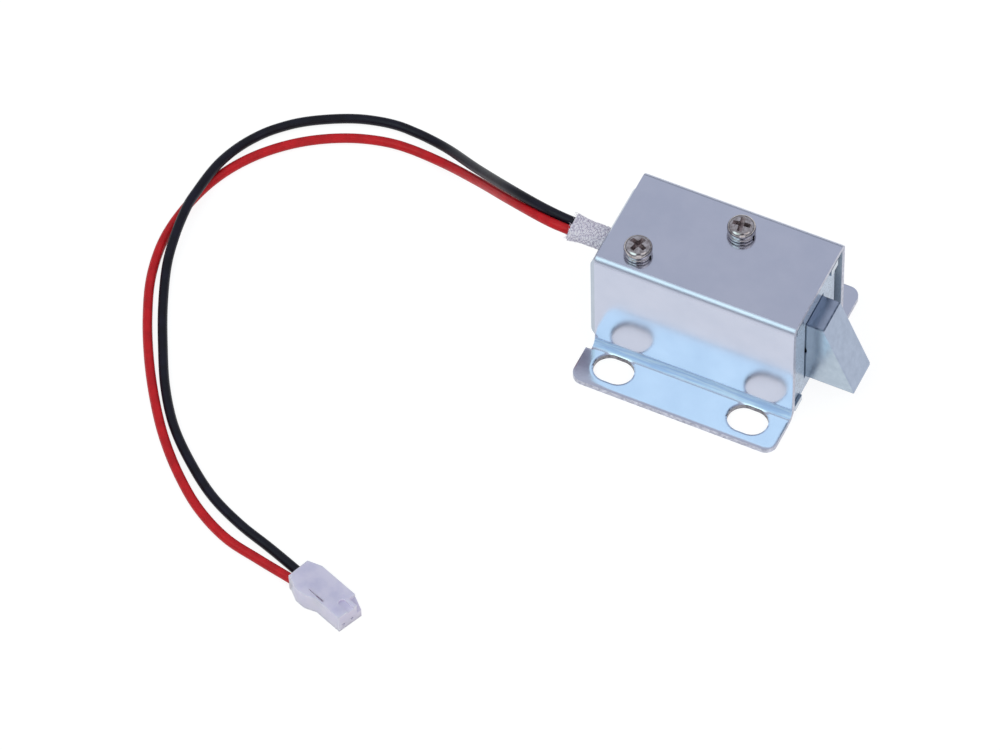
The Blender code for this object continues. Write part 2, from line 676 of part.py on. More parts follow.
def plunger_cone():
    """Radii of the plunger's cone at its base and tip, clear of the pole's recess when drawn in."""
    slope = (POLE_RECESS_MOUTH - POLE_RECESS_FLOOR) / 2 / POLE_RECESS_DEPTH
    back_off = GAP * sqrt(1 + slope ** 2)
    standing_off = PLUNGER_BACK - STROKE - POLE_FACE
    base = POLE_RECESS_MOUTH / 2 + slope * standing_off - back_off - GAP
    return base, base - slope * PLUNGER_TIP


def pole_core():
    """Fixed pole with a cone-shaped recess, riveted in the frame's closed end."""
    radius = PLUNGER_DIAMETER / 2
    profile = [
        (POLE_FACE - POLE_RECESS_DEPTH, 0), (POLE_FACE - POLE_RECESS_DEPTH, POLE_RECESS_FLOOR / 2),
        (POLE_FACE, POLE_RECESS_MOUTH / 2), (POLE_FACE, radius), (POLE_LEFT, radius),
        (POLE_LEFT, RIVET_DIAMETER / 2), (RIVET_LEFT + RIVET_THICK, RIVET_DIAMETER / 2),
        (RIVET_LEFT + RIVET_THICK, RIVET_HEAD / 2), (RIVET_LEFT, RIVET_HEAD / 2 - RIVET_THICK),
        (RIVET_LEFT, 0),
    ]
    return turned("pole_core", profile, "pure_iron")


def residual_washer():
    profile = ring_profile(DISC_LEFT, DISC_LEFT + DISC_THICK, PLUNGER_DIAMETER, POLE_RECESS_MOUTH + 2 * GAP)
    return turned("residual_washer", profile, "brass")


def guide_tube():
    return turned("guide_tube", ring_profile(BOBBIN_LEFT, BOBBIN_RIGHT, TUBE_DIAMETER, TUBE_BORE), "brass")


def bobbin():
    """Spool with two flanges; the left one carries the lug where the wires end."""
    flange = BOBBIN_FLANGE / 2
    core = BOBBIN_CORE / 2
    bore = BOBBIN_BORE / 2
    profile = [
        (BOBBIN_RIGHT, flange), (BOBBIN_RIGHT - BOBBIN_FLANGE_THICK, flange),
        (BOBBIN_RIGHT - BOBBIN_FLANGE_THICK, core), (BOBBIN_LEFT + BOBBIN_FLANGE_THICK, core),
        (BOBBIN_LEFT + BOBBIN_FLANGE_THICK, flange), (BOBBIN_LEFT, flange), (BOBBIN_LEFT, bore),
        (BOBBIN_RIGHT, bore),
    ]
    made = turned("bobbin", profile, "white_nylon")
    tool = bmesh.new()
    middle = SLEEVE_Y - AXIS_Y
    top = SLEEVE_Z + LUG_HEIGHT - AXIS_Z
    root = (BOBBIN_CORE / 2 + flange) / 2
    box(
        tool,
        (BOBBIN_LEFT, middle - LUG_WIDTH / 2, root),
        (BOBBIN_LEFT + BOBBIN_FLANGE_THICK, middle + LUG_WIDTH / 2, top),
    )
    boolean(made, cutter("bobbin_lug", tool, BOLT_AXIS), "UNION")
    return made


def coil_winding():
    profile = ring_profile(WINDING_LEFT, WINDING_RIGHT, WINDING_DIAMETER, BOBBIN_CORE + 2 * GAP)
    return turned("coil_winding", profile, "copper_enamel")


def coil_tape():
    return turned("coil_tape", ring_profile(WINDING_LEFT, WINDING_RIGHT, BOBBIN_FLANGE, TAPE_BORE), "yellow_tape")


def spring_seat():
    profile = ring_profile(SEAT_LEFT, SEAT_LEFT + SEAT_THICK, SEAT_DIAMETER, PLUNGER_DIAMETER + 2 * GAP)
    return turned("spring_seat", profile, "nickel")


def return_spring():
    """Coil spring round the plunger, from the seat to the bolt's shoulders."""
    radius = SPRING_MEAN / 2
    start = SPRING_LEFT + SPRING_WIRE / 2
    travel = SPRING_RIGHT - SPRING_LEFT - SPRING_WIRE
    count = SPRING_TURNS * SPRING_POINTS
    points = []
    for step in range(count + 1):
        angle = 2 * pi * step / SPRING_POINTS
        points.append((start + travel * step / count, radius * cos(angle), radius * sin(angle)))
    return wire_object("return_spring", points, SPRING_WIRE / 2, "spring_steel", BOLT_AXIS, 1)


def screw(side):
    """Pan head screw with a cross recess."""
    x, y = screw_place(side)
    head = SCREW_HEAD / 2
    wall = SCREW_HEAD_HEIGHT - SCREW_CROWN
    crown_radius = (head ** 2 + SCREW_CROWN ** 2) / (2 * SCREW_CROWN)
    reach = atan2(head, crown_radius - SCREW_CROWN)
    profile = []
    for step in range(ARC_STEPS + 1):
        angle = reach * step / ARC_STEPS
        rise = SCREW_HEAD_HEIGHT - crown_radius * (1 - cos(angle))
        profile.append((crown_radius * sin(angle), max(rise, wall)))
    profile += [(head, 0), (SCREW_DIAMETER / 2, 0), (SCREW_DIAMETER / 2, -SCREW_LENGTH), (0, -SCREW_LENGTH)]
    shape = bmesh.new()
    row = [shape.verts.new((radius, 0, height)) for radius, height in profile]
    for first, second in zip(row, row[1:]):
        shape.edges.new((first, second))
    mesh = bpy.data.meshes.new("screw_" + side)
    shape.to_mesh(mesh)
    shape.free()
    made = add_object("screw_" + side, mesh)
    made.data.materials.append(finish("nickel"))
    made.location = (x, y, HEAD_BOTTOM)
    made.rotation_euler.z = radians(SCREW_TURN[side])
    spin = made.modifiers.new("turn", "SCREW")
    spin.steps = ROUND_STEPS
    spin.render_steps = ROUND_STEPS
    spin.use_merge_vertices = True
    spin.merge_threshold = 0.00001
    spin.use_smooth_shade = False

    tool = bmesh.new()
    floor = SCREW_HEAD_HEIGHT - CROSS_DEPTH
    arm = CROSS_LENGTH / 2
    thick = CROSS_WIDTH / 2
    box(tool, (-arm, -thick, floor), (arm, thick, SCREW_HEAD_HEIGHT + OVERCUT))
    boolean(made, cutter("cross_long_" + side, tool, made))
    tool = bmesh.new()
    box(tool, (-thick, -arm, floor), (thick, arm, SCREW_HEAD_HEIGHT + OVERCUT))
    boolean(made, cutter("cross_wide_" + side, tool, made))
    return made


def lock_washer(side):
    """Split spring washer, one end a little higher than the other."""
    x, y = screw_place(side)
    inner = HOLE_DIAMETER / 2
    outer = LOCK_DIAMETER / 2
    shape = bmesh.new()
    section = [(inner, 0), (outer, 0), (outer, LOCK_THICK), (inner, LOCK_THICK)]
    start = [shape.verts.new((radius, 0, height)) for radius, height in section]
    face = shape.faces.new(start)
    steps = ROUND_STEPS
    bmesh.ops.spin(
        shape,
        geom=[face] + list(face.edges) + start,
        axis=(0, 0, 1),
        cent=(0, 0, 0),
        dvec=(0, 0, LOCK_RISE / steps),
        angle=radians(360 - LOCK_SPLIT),
        steps=steps,
        use_duplicate=False,
    )
    bmesh.ops.holes_fill(shape, edges=shape.edges[:], sides=4)
    made = piece("lock_washer_" + side, shape, "nickel")
    made.location = (x, y, LOCK_BOTTOM)
    return made


def lead_sleeve():
    """Flat oval braided sleeve: it flares at its frayed end."""
    shape = bmesh.new()
    shares = [0.0, 0.3, 0.6, 0.8, 0.9, 1.0]
    rings = []
    inner = FRAME_INSIDE - GAP / 3
    for share in shares:
        flare = SLEEVE_FLARE * max(0.0, (share - 0.6) / 0.4) ** 2
        x = inner - (SLEEVE_LENGTH + inner) * share
        wide = SLEEVE_WIDTH / 2 + flare
        high = SLEEVE_HEIGHT / 2 + flare / 2
        side = wide - high
        ring = []
        for step in range(24):
            angle = 2 * pi * (step + 0.5) / 24
            across = high * cos(angle) + (side if cos(angle) > 0 else -side)
            ring.append(shape.verts.new((x, SLEEVE_Y + across, SLEEVE_Z + high * sin(angle))))
        rings.append([shape.edges.new((ring[step - 1], ring[step])) for step in range(24)])
    for first, second in zip(rings, rings[1:]):
        bmesh.ops.bridge_loops(shape, edges=first + second)
    made = piece("lead_sleeve", shape, "glass_braid")
    solidify(made, SLEEVE_WALL, -1.0)
    return made


def smooth_line(route, step, lowest):
    """Points at an even step along a smooth curve through the route, none under the lowest height."""
    route = [Vector(point) for point in route]
    ends = [2 * route[0] - route[1]] + route + [2 * route[-1] - route[-2]]
    fine = []
    for before, first, second, after in zip(ends, ends[1:], ends[2:], ends[3:]):
        for part in range(20):
            t = part / 20
            fine.append(
                0.5 * (
                    2 * first + (second - before) * t + (2 * before - 5 * first + 4 * second - after) * t ** 2
                    + (3 * first - before - 3 * second + after) * t ** 3
                )
            )
    fine.append(route[-1])
    lengths = [0.0]
    for first, second in zip(fine, fine[1:]):
        lengths.append(lengths[-1] + (second - first).length)
    count = round(lengths[-1] / step)
    line = []
    index = 0
    for number in range(count + 1):
        wanted = lengths[-1] * number / count
        while index < len(fine) - 2 and lengths[index + 1] < wanted:
            index += 1
        share = (wanted - lengths[index]) / (lengths[index + 1] - lengths[index])
        point = fine[index].lerp(fine[index + 1], share)
        point.z = max(point.z, lowest)
        line.append(point)
    return line


def plug_point(x, y, z):
    """A point in the plug's axes, as a point of the lock."""
    turn = Matrix.Rotation(radians(PLUG_HEADING), 3, "Z")
    return PLUG_AT + turn @ Vector((x, y, z))


def wire(name, side, route, finish_name):
    """One lead: from the bobbin's lug through the sleeve and along the floor to the plug."""
    y = SLEEVE_Y + side * WIRE_PITCH / 2
    exit_y = SLEEVE_Y + side * (WIRE_PITCH / 2 + GAP / 2)
    points = [(BOBBIN_LEFT - GAP, y, SLEEVE_Z), (-SLEEVE_LENGTH, exit_y, SLEEVE_Z)]
    points += [Vector(point) * MM for point in route]
    points.append(plug_point(-GAP, side * CONTACT_PITCH / 2, CONTACT_Z))
    radius = WIRE_DIAMETER / 2
    line = smooth_line(points, WIRE_STEP * WIRE_DIAMETER, radius + WIRE_LIFT)
    return wire_object(name, line, radius, finish_name)


def plug_housing():
    """Moulded two-way shell: both ends narrower, the mating end lower, latch pad on the right-hand side."""
    left = PLUG_LEFT_SIDE
    right = -PLUG_RIGHT_SIDE
    nose = PLUG_LENGTH - PLUG_NOSE
    plan = [
        (0, right), (LATCH_START, right), (LATCH_START + LATCH_PAD, right - LATCH_OUT),
        (LATCH_START + 2 * LATCH_PAD, right - LATCH_OUT), (LATCH_END, right), (PLUG_LENGTH, right),
        (PLUG_LENGTH, left - PLUG_NOSE_IN), (nose, left), (PLUG_COLLAR, left), (0, left - PLUG_COLLAR_IN),
    ]
    shape = bmesh.new()
    prism(shape, [(x, y, 0) for x, y in plan], (0, 0, PLUG_HEIGHT))
    made = piece("plug_housing", shape, "plug_nylon", PLUG_PLACE)
    bevel(made, PLUG_EDGE, 2)

    tool = bmesh.new()
    for side in (-1, 1):
        middle = side * CONTACT_PITCH / 2
        box(
            tool,
            (-OVERCUT, middle - CAVITY / 2, CONTACT_Z - CAVITY / 2),
            (PLUG_LENGTH + OVERCUT, middle + CAVITY / 2, CONTACT_Z + CAVITY / 2),
        )
    top = PLUG_HEIGHT + OVERCUT
    box(
        tool,
        (nose, CONTACT_PITCH / 2 + CAVITY / 2 + GAP, PLUG_HEIGHT - PLUG_NOSE_DOWN),
        (PLUG_LENGTH + OVERCUT, left + OVERCUT, top),
    )
    slit = LATCH_START + 2 * LATCH_PAD
    box(
        tool,
        (slit, right + LATCH_SLIT, CONTACT_Z + CAVITY / 2 + GAP),
        (slit + LATCH_SLIT_LENGTH, right + 2 * LATCH_SLIT, top),
    )
    boolean(made, cutter("plug_cuts", tool, PLUG_PLACE))
    return made


def contact(name, side, finish_name):
    """Crimp contact: a square box with its socket towards the mating end."""
    middle = side * CONTACT_PITCH / 2
    half = CONTACT_WIDTH / 2
    end = CONTACT_START + CONTACT_LENGTH
    shape = bmesh.new()
    box(shape, (CONTACT_START, middle - half, CONTACT_Z - half), (end, middle + half, CONTACT_Z + half))
    made = piece(name, shape, finish_name, PLUG_PLACE)
    tool = bmesh.new()
    bore = CONTACT_BORE / 2
    box(
        tool,
        (end - CONTACT_BORE_DEPTH, middle - bore, CONTACT_Z - bore),
        (end + OVERCUT, middle + bore, CONTACT_Z + bore),
    )
    boolean(made, cutter(name + "_bore", tool, PLUG_PLACE))
    return made


def build():
    mounting_bracket()
    solenoid_frame()
    end_plate()
    bolt()
    bolt_pin()
    stop_cushion()
    plunger()
    pole_core()
    residual_washer()
    guide_tube()
    bobbin()
    coil_winding()
    coil_tape()
    spring_seat()
    return_spring()
    for side in SCREW_X:
        screw(side)
        lock_washer(side)
    lead_sleeve()
    wire("wire_black", 1, BLACK_ROUTE, "black_wire")
    wire("wire_red", -1, RED_ROUTE, "red_wire")
    plug_housing()
    contact("contact_black", 1, "tin")
    contact("contact_red", -1, "tin")


build()
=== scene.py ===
"""Looks of the small solenoid lock.

A blue-white zinc bracket with slotted flanges, a duller solenoid frame under it, a slanted bolt, two nickel
screws on split washers, and a black and a red lead that leave through a braided sleeve and end in a milky
two-way plug. Lengths here are in millimetres, counted as the lock's own drawing counts them: X from the left
end of the bracket's top, heights from the flanges' underside. at() turns them into the frame's metres.
"""
from math import cos, pi, radians, sin, sqrt
from random import Random

import bmesh
import bpy
from mathutils import Matrix, Vector


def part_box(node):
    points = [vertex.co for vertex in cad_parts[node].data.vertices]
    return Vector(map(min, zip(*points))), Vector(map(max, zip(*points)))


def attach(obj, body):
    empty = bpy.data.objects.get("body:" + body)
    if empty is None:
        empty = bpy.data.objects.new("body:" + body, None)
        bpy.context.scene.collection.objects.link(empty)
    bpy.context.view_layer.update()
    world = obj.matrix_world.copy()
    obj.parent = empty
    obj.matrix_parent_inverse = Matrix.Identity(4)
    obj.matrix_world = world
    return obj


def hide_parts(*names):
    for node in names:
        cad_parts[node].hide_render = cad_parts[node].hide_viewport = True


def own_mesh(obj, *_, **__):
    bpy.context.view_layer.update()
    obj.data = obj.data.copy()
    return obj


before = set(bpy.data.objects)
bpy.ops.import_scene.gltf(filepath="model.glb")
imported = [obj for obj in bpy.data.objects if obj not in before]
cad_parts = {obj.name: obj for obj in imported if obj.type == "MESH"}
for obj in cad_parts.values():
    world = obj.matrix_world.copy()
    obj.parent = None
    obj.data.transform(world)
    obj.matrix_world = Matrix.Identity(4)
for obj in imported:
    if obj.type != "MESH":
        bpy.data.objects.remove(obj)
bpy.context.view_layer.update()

# Where the frame's origin lies in the drawing, and the bolt's axis
MIDDLE_X = 24.1
AXIS = Vector((0.0, -0.8, 12.9))

# Bracket: TAIL is how far its flanges reach past the top, SLOT_OUT the slots' place beside the wall
LENGTH = 41.0
WIDTH = 23.4
HEIGHT = 27.4
SHEET = 1.2
TOP_BEND = 0.4
FLANGE_BEND = 1.6
FLANGE = 9.25
TAIL = 1.1
CORNER = 2.3
SLOT = (8.0, 6.2)
SLOT_OUT = 4.2
SLOTS_X = (5.9, 33.75)
# X, Y and the recess's turn in degrees
SCREWS = {"left": (6.8, -6.7, -20.0), "right": (22.4, 5.7, 8.0)}
HOLE = 3.6
# Length of finer mesh at each end, and how deep and how far in the punch rounds the cut edges
END_RUN = 1.5
EDGE_DROP = 0.11
EDGE_REACH = 0.9
SLOT_DROP = 0.12
SLOT_REACH = 0.6

# Solenoid frame and end plate
FRAME_SHEET = 1.6
FRAME_WIDTH = 18.6
FRAME_LOW = 0.7
FRAME_HIGH = 25.9
FRAME_LEFT = -1.5
FRAME_BEND = 1.2
TAB = 3.0
PLATE_FACE = 40.4
NOTCH = 1.6
RIVET_HOLE = 4.6
SLEEVE_HOLE = (5.8, 3.6)
GAP = 0.3

# Bolt
BOLT_WIDTH = 7.6
BOLT_HALF = 8.15
BOLT_FLAT_END = 44.0
BOLT_TIP = 50.5
TIP_HEIGHT = 0.9
SHOULDER = 1.4
SHOULDER_REAR = 35.8
SHOULDER_FRONT = 37.4
WINDOW_GAP = 0.4
BORE = 5.6
BORE_END = 41.4
PIN_X = 39.3
PIN_HOLE = 2.4
TRAVEL = 9.0
SPRING_WIRE = 0.5
SPRING_TURNS = 7

# Screws and split washers; the washer's opening is in degrees
HEAD_AT = 28.3
SCREW_HEAD = 5.5
SCREW_TALL = 1.75
SCREW_RIM = 1.0
SCREW_DOME = 0.15
SHANK = 3.0
SHANK_LONG = 6.0
# Each end of the recess: over the head's top, half its bar's length, half its width
RECESS_ENDS = ((0.3, 2.1, 0.52), (-1.2, 0.8, 0.3))
WASHER_OUTER = 2.7
WASHER_THICK = 0.65
WASHER_RISE = 0.1
WASHER_ROUND = 0.14
WASHER_OPEN = 14.0

# Sleeve, wires and plug
SLEEVE_Y = -2.5
SLEEVE_Z = 21.7
SLEEVE_END = -8.6
SLEEVE_HALF_WIDE = 2.6
SLEEVE_HALF_HIGH = 1.5
STRANDS = 12
LOOSE_THREADS = 46
BRAID_LEAD = 9.0
WIRE = 1.9
WIRE_SIDE = 0.97
PLUG_AT = Vector((-27.0, -84.0, 0.0))
PLUG_HEADING = -20.5
PLUG_LENGTH = 13.5
PLUG_HEIGHT = 4.4
PLUG_PLAN = [
    (0, -2.2), (0.6, -2.2), (2.8, -3.2), (5.0, -3.2), (7.4, -2.2), (PLUG_LENGTH, -2.2),
    (PLUG_LENGTH + 0.3, 3.2), (11.8, 3.7), (2.8, 3.7), (0, 2.6),
]

BLACK_ROUTE = [
    (-15.1, -1.0, 22.0), (-24.3, 2.8, 18.6), (-35.5, 10.9, 9.4), (-46.1, 17.9, 2.4), (-54.9, 19.8, 0.9),
    (-62.8, 18.7, 0.9), (-69.9, 15.6, 0.9), (-76.3, 11.1, 0.9), (-81.3, 4.8, 1.1), (-83.7, -3.9, 2.7),
    (-84.4, -13.2, 3.2), (-84.3, -17.5, 3.2), (-83.5, -23.6, 2.6), (-82.1, -29.9, 1.2), (-78.5, -38.5, 0.9),
    (-74.2, -46.9, 0.9), (-69.5, -55.1, 0.9), (-63.9, -62.5, 0.9), (-57.2, -68.7, 0.9), (-50.0, -73.9, 0.9),
    (-42.3, -77.5, 0.9), (-34.4, -80.1, 1.0),
]
RED_ROUTE = [
    (-14.0, -2.95, 21.4), (-23.3, 1.3, 17.2), (-34.5, 9.2, 8.0), (-44.9, 14.6, 1.9), (-53.5, 15.6, 0.9),
    (-61.2, 14.2, 0.9), (-68.3, 11.0, 0.9), (-74.5, 6.4, 0.9), (-79.7, 0.4, 0.9), (-83.4, -6.8, 0.9),
    (-85.4, -15.2, 0.9), (-85.7, -24.1, 0.9), (-83.8, -33.1, 0.9), (-80.1, -41.8, 0.9), (-75.5, -50.2, 0.9),
    (-70.3, -58.1, 0.9), (-64.6, -65.4, 0.9), (-58.2, -71.9, 0.9), (-51.1, -77.5, 0.9), (-43.3, -81.4, 0.9),
    (-35.3, -83.2, 1.0),
]

# Stage
FLOOR_REACH = 6.0
FLOOR_WHITE = 0.88


def at(x, y, z):
    """A point of the lock's drawing in the frame's metres."""
    return Vector((x - MIDDLE_X, y, z)) / 1000


def linear(value):
    """One channel of a screen colour, 0 to 255, as light."""
    value /= 255
    return value / 12.92 if value <= 0.04045 else ((value + 0.055) / 1.055) ** 2.4


def rgb(red, green, blue):
    return (linear(red), linear(green), linear(blue), 1.0)


# Materials


def shader_of(name, colour, metallic, roughness, **more):
    """A material with its Principled shader: returns (material, shader, nodes, links)."""
    made = bpy.data.materials.new(name)
    made.use_nodes = True
    nodes = made.node_tree.nodes
    links = made.node_tree.links
    shader = nodes["Principled BSDF"]
    shader.inputs["Base Color"].default_value = colour
    shader.inputs["Metallic"].default_value = metallic
    shader.inputs["Roughness"].default_value = roughness
    for key, value in more.items():
        shader.inputs[key.replace("_", " ")].default_value = value
    return made, shader, nodes, links


def noise(nodes, links, scale, detail=3.0, rough=0.5, stretch=None):
    """Noise in millimetres of the frame: scale is how many grains to a millimetre."""
    coordinates = nodes.new("ShaderNodeTexCoord")
    made = nodes.new("ShaderNodeTexNoise")
    made.inputs["Scale"].default_value = scale * 1000
    made.inputs["Detail"].default_value = detail
    made.inputs["Roughness"].default_value = rough
    source = coordinates.outputs["Object"]
    if stretch:
        mapping = nodes.new("ShaderNodeMapping")
        mapping.inputs["Scale"].default_value = stretch
        links.new(source, mapping.inputs["Vector"])
        source = mapping.outputs["Vector"]
    links.new(source, made.inputs["Vector"])
    return made.outputs["Fac"]


def ramp(nodes, links, source, stops):
    made = nodes.new("ShaderNodeValToRGB")
    line = made.color_ramp
    line.elements[0].position, line.elements[0].color = stops[0]
    line.elements[1].position, line.elements[1].color = stops[-1]
    for place, colour in stops[1:-1]:
        line.elements.new(place).color = colour
    links.new(source, made.inputs["Fac"])
    return made.outputs["Color"]


def spread(nodes, links, source, low, high, start=0.3, end=0.7):
    """Carries a value between start and end onto low to high."""
    made = nodes.new("ShaderNodeMapRange")
    made.inputs["From Min"].default_value = start
    made.inputs["From Max"].default_value = end
    made.inputs["To Min"].default_value = low
    made.inputs["To Max"].default_value = high
    links.new(source, made.inputs["Value"])
    return made.outputs["Result"]


def bump(nodes, links, source, strength, distance, before=None):
    made = nodes.new("ShaderNodeBump")
    made.inputs["Strength"].default_value = strength
    made.inputs["Distance"].default_value = distance / 1000
    links.new(source, made.inputs["Height"])
    if before:
        links.new(before, made.inputs["Normal"])
    return made.outputs["Normal"]


def tinted(nodes, links, source, first, second, low=0.35, high=0.65):
    """Colour that wanders between two tints."""
    return ramp(nodes, links, source, [(low, first), (high, second)])


def plated(name, light, dark, roughness, grain, deep, metallic=1.0, clouds=0.12):
    """Zinc or nickel plate: cloudy tint, fine grain and a few long faint marks."""
    made, shader, nodes, links = shader_of(name, light, metallic, roughness)
    cloud = noise(nodes, links, clouds, 4.0, 0.6)
    links.new(tinted(nodes, links, cloud, dark, light), shader.inputs["Base Color"])
    fine = noise(nodes, links, grain, 4.0, 0.65)
    links.new(spread(nodes, links, fine, roughness * 0.8, roughness * 1.25), shader.inputs["Roughness"])
    lines = noise(nodes, links, 0.9, 3.0, 0.6, (0.12, 1.0, 1.0))
    first = bump(nodes, links, lines, 0.25, deep * 2)
    links.new(bump(nodes, links, fine, 0.5, deep, first), shader.inputs["Normal"])
    return made


ZINC = plated("zinc_plate_looks", rgb(201, 205, 221), rgb(195, 200, 217), 0.15, 6.0, 0.0012)
FRAME_ZINC = plated("zinc_frame_looks", rgb(192, 200, 211), rgb(182, 191, 203), 0.22, 5.0, 0.0018)
BOLT_ZINC = plated("bolt_looks", rgb(168, 179, 199), rgb(159, 170, 190), 0.22, 5.0, 0.0025, 1.0, 0.7)
# Painted light: a lighter, greener, less metallic copy of the bolt's zinc for its two broad sides.
BOLT_SIDE_PAINTED_LIGHT = plated("bolt_side_painted_light_looks", rgb(188, 201, 214), rgb(178, 191, 205), 0.22, 5.0, 0.0025, 0.8, 0.7)
# Painted reflection: a darker copy of the bolt's zinc for its rounded long edges, standing in for the dark
# surroundings they reflect.
BOLT_EDGE_PAINTED_DARK = plated("bolt_edge_painted_reflection_looks", rgb(136, 146, 166), rgb(84, 96, 118), 0.3, 6.0, 0.006, 1.0, 1.4)
PLATE_ZINC = plated("end_plate_looks", rgb(190, 205, 224), rgb(180, 195, 214), 0.28, 5.0, 0.003, 0.35, 0.4)
# Painted light: the bracket's inner faces get a rougher copy of the zinc, also lighter and less metallic for
# the light that reaches in through the open ends.
INSIDE_ZINC_PAINTED_LIGHT = plated("zinc_inside_painted_light_looks", rgb(222, 234, 244), rgb(204, 218, 232), 0.3, 5.0, 0.004, 0.3)
SHEARED = plated("sheared_edge_looks", rgb(212, 213, 226), rgb(160, 162, 178), 0.4, 9.0, 0.012, 1.0, 1.6)
# Painted shade: a darker copy of the sheared steel for the walls of the flanges' slots, for the shade inside
# them.
SLOT_WALL_PAINTED_SHADE = plated("slot_wall_painted_shade_looks", rgb(160, 158, 164), rgb(92, 90, 98), 0.4, 9.0, 0.01, 1.0, 1.2)
NICKEL = plated("nickel_looks", rgb(196, 191, 193), rgb(146, 138, 138), 0.12, 8.0, 0.003, 1.0, 1.4)
# Painted shade and reflection: a darker, browner, less metallic copy of the nickel for the inside of the
# cross recess.
RECESS_PAINTED_SHADE = plated("recess_painted_shade_looks", rgb(188, 172, 174), rgb(124, 110, 112), 0.35, 8.0, 0.008, 0.8, 1.4)


def mixed(nodes, links, share, first, second):
    """Colour between the first and the second, which may be a plain colour."""
    made = nodes.new("ShaderNodeMix")
    made.data_type = "RGBA"
    links.new(share, made.inputs["Factor"])
    links.new(first, made.inputs["A"])
    if isinstance(second, tuple):
        made.inputs["B"].default_value = second
    else:
        links.new(second, made.inputs["B"])
    return made.outputs["Result"]


def band(nodes, links, height, rise, fall):
    """1 between two heights in millimetres and 0 beyond them, with soft ends."""
    made = nodes.new("ShaderNodeMath")
    made.operation = "MULTIPLY"
    links.new(spread(nodes, links, height, 0.0, 1.0, rise[0] / 1000, rise[1] / 1000), made.inputs[0])
    links.new(spread(nodes, links, height, 1.0, 0.0, fall[0] / 1000, fall[1] / 1000), made.inputs[1])
    return made.outputs[0]


def dull_and_painted_light_in_bend(material):
    """The stretched sheet is duller in the bend at each flange, and a little duller at the top; the flange
    bends also get painted light, a lighter blue, less metallic colour for the light that wall and flange
    throw into them.
    """
    nodes = material.node_tree.nodes
    links = material.node_tree.links
    shader = nodes["Principled BSDF"]
    where = nodes.new("ShaderNodeTexCoord")
    split = nodes.new("ShaderNodeSeparateXYZ")
    links.new(where.outputs["Object"], split.inputs[0])
    foot = band(nodes, links, split.outputs["Z"], (1.21, 1.4), (2.6, 3.4))
    top = band(nodes, links, split.outputs["Z"], (25.9, 26.2), (27.3, 27.39))
    roughness = shader.inputs["Roughness"].links[0].from_socket
    for share, dull in ((0.4, foot), (0.2, top)):
        rough = nodes.new("ShaderNodeMath")
        rough.operation = "MULTIPLY_ADD"
        rough.inputs[1].default_value = share
        links.new(dull, rough.inputs[0])
        links.new(roughness, rough.inputs[2])
        roughness = rough.outputs[0]
    links.new(roughness, shader.inputs["Roughness"])
    # Painted light from here on: in the flange bend a lower metallic and a lighter blue colour stand in for
    # the light that wall and flange reflect into it.
    links.new(spread(nodes, links, foot, 1.0, 0.25, 0.0, 1.0), shader.inputs["Metallic"])
    plate_colour = shader.inputs["Base Color"].links[0].from_socket
    streaks = noise(nodes, links, 2.2, 3.0, 0.6, (0.06, 1.0, 1.0))
    bend = tinted(nodes, links, streaks, rgb(176, 206, 244), rgb(208, 232, 255), 0.4, 0.6)
    links.new(mixed(nodes, links, foot, plate_colour, bend), shader.inputs["Base Color"])


dull_and_painted_light_in_bend(ZINC)


def simple(name, colour, other, metallic, roughness, grain, strength=0.3, deep=0.02, **more):
    """A plain material with a slight cloud of tint, and grain."""
    made, shader, nodes, links = shader_of(name, colour, metallic, roughness, **more)
    cloud = noise(nodes, links, 0.4, 3.0)
    links.new(tinted(nodes, links, cloud, other, colour), shader.inputs["Base Color"])
    fine = noise(nodes, links, grain, 3.0, 0.6)
    links.new(spread(nodes, links, fine, roughness * 0.85, roughness * 1.2), shader.inputs["Roughness"])
    links.new(bump(nodes, links, fine, strength, deep), shader.inputs["Normal"])
    return made


def lathe_marked(name, colour, other, roughness):
    """Turned metal: fine rings round the bolt's axis."""
    made, shader, nodes, links = shader_of(name, colour, 1.0, roughness)
    rings = noise(nodes, links, 1.0, 3.0, 0.6, (9.0, 0.3, 0.3))
    links.new(tinted(nodes, links, rings, other, colour), shader.inputs["Base Color"])
    links.new(bump(nodes, links, rings, 0.4, 0.01), shader.inputs["Normal"])
    return made


IRON = lathe_marked("iron_looks", rgb(168, 170, 174), rgb(140, 143, 148), 0.32)
BRASS = lathe_marked("brass_looks", rgb(204, 172, 98), rgb(182, 148, 78), 0.28)
COPPER = lathe_marked("winding_looks", rgb(176, 88, 46), rgb(132, 58, 28), 0.34)
SPRING = simple("spring_looks", rgb(158, 160, 166), rgb(130, 132, 140), 1.0, 0.28, 6.0)
NYLON = simple("bobbin_looks", rgb(232, 230, 224), rgb(222, 219, 210), 0.0, 0.45, 3.0, 0.3, 0.01)
RUBBER = simple("cushion_looks", rgb(34, 34, 36), rgb(46, 45, 46), 0.0, 0.8, 4.0, 0.5, 0.03)
TAPE = simple("tape_looks", rgb(214, 180, 70), rgb(200, 164, 58), 0.0, 0.35, 1.0, 0.3, 0.03)
TIN = simple("tin_looks", rgb(190, 190, 188), rgb(170, 171, 172), 1.0, 0.3, 6.0)
BLACK_PVC = simple(
    "black_wire_looks", rgb(10, 9, 22), rgb(20, 18, 36), 0.0, 0.42, 4.0, 0.35, 0.012, Specular_IOR_Level=0.25
)
RED_PVC = simple(
    "red_wire_looks", rgb(212, 20, 30), rgb(192, 14, 24), 0.0, 0.42, 4.0, 0.35, 0.012, Specular_IOR_Level=0.3
)
MILKY = {"Subsurface_Weight": 0.7, "Subsurface_Scale": 0.0015, "Subsurface_Radius": (1.0, 1.0, 1.0)}
PLUG_PLASTIC = simple(
    "plug_looks", rgb(225, 218, 236), rgb(212, 206, 229), 0.0, 0.42, 3.0, 0.25, 0.01, **MILKY
)
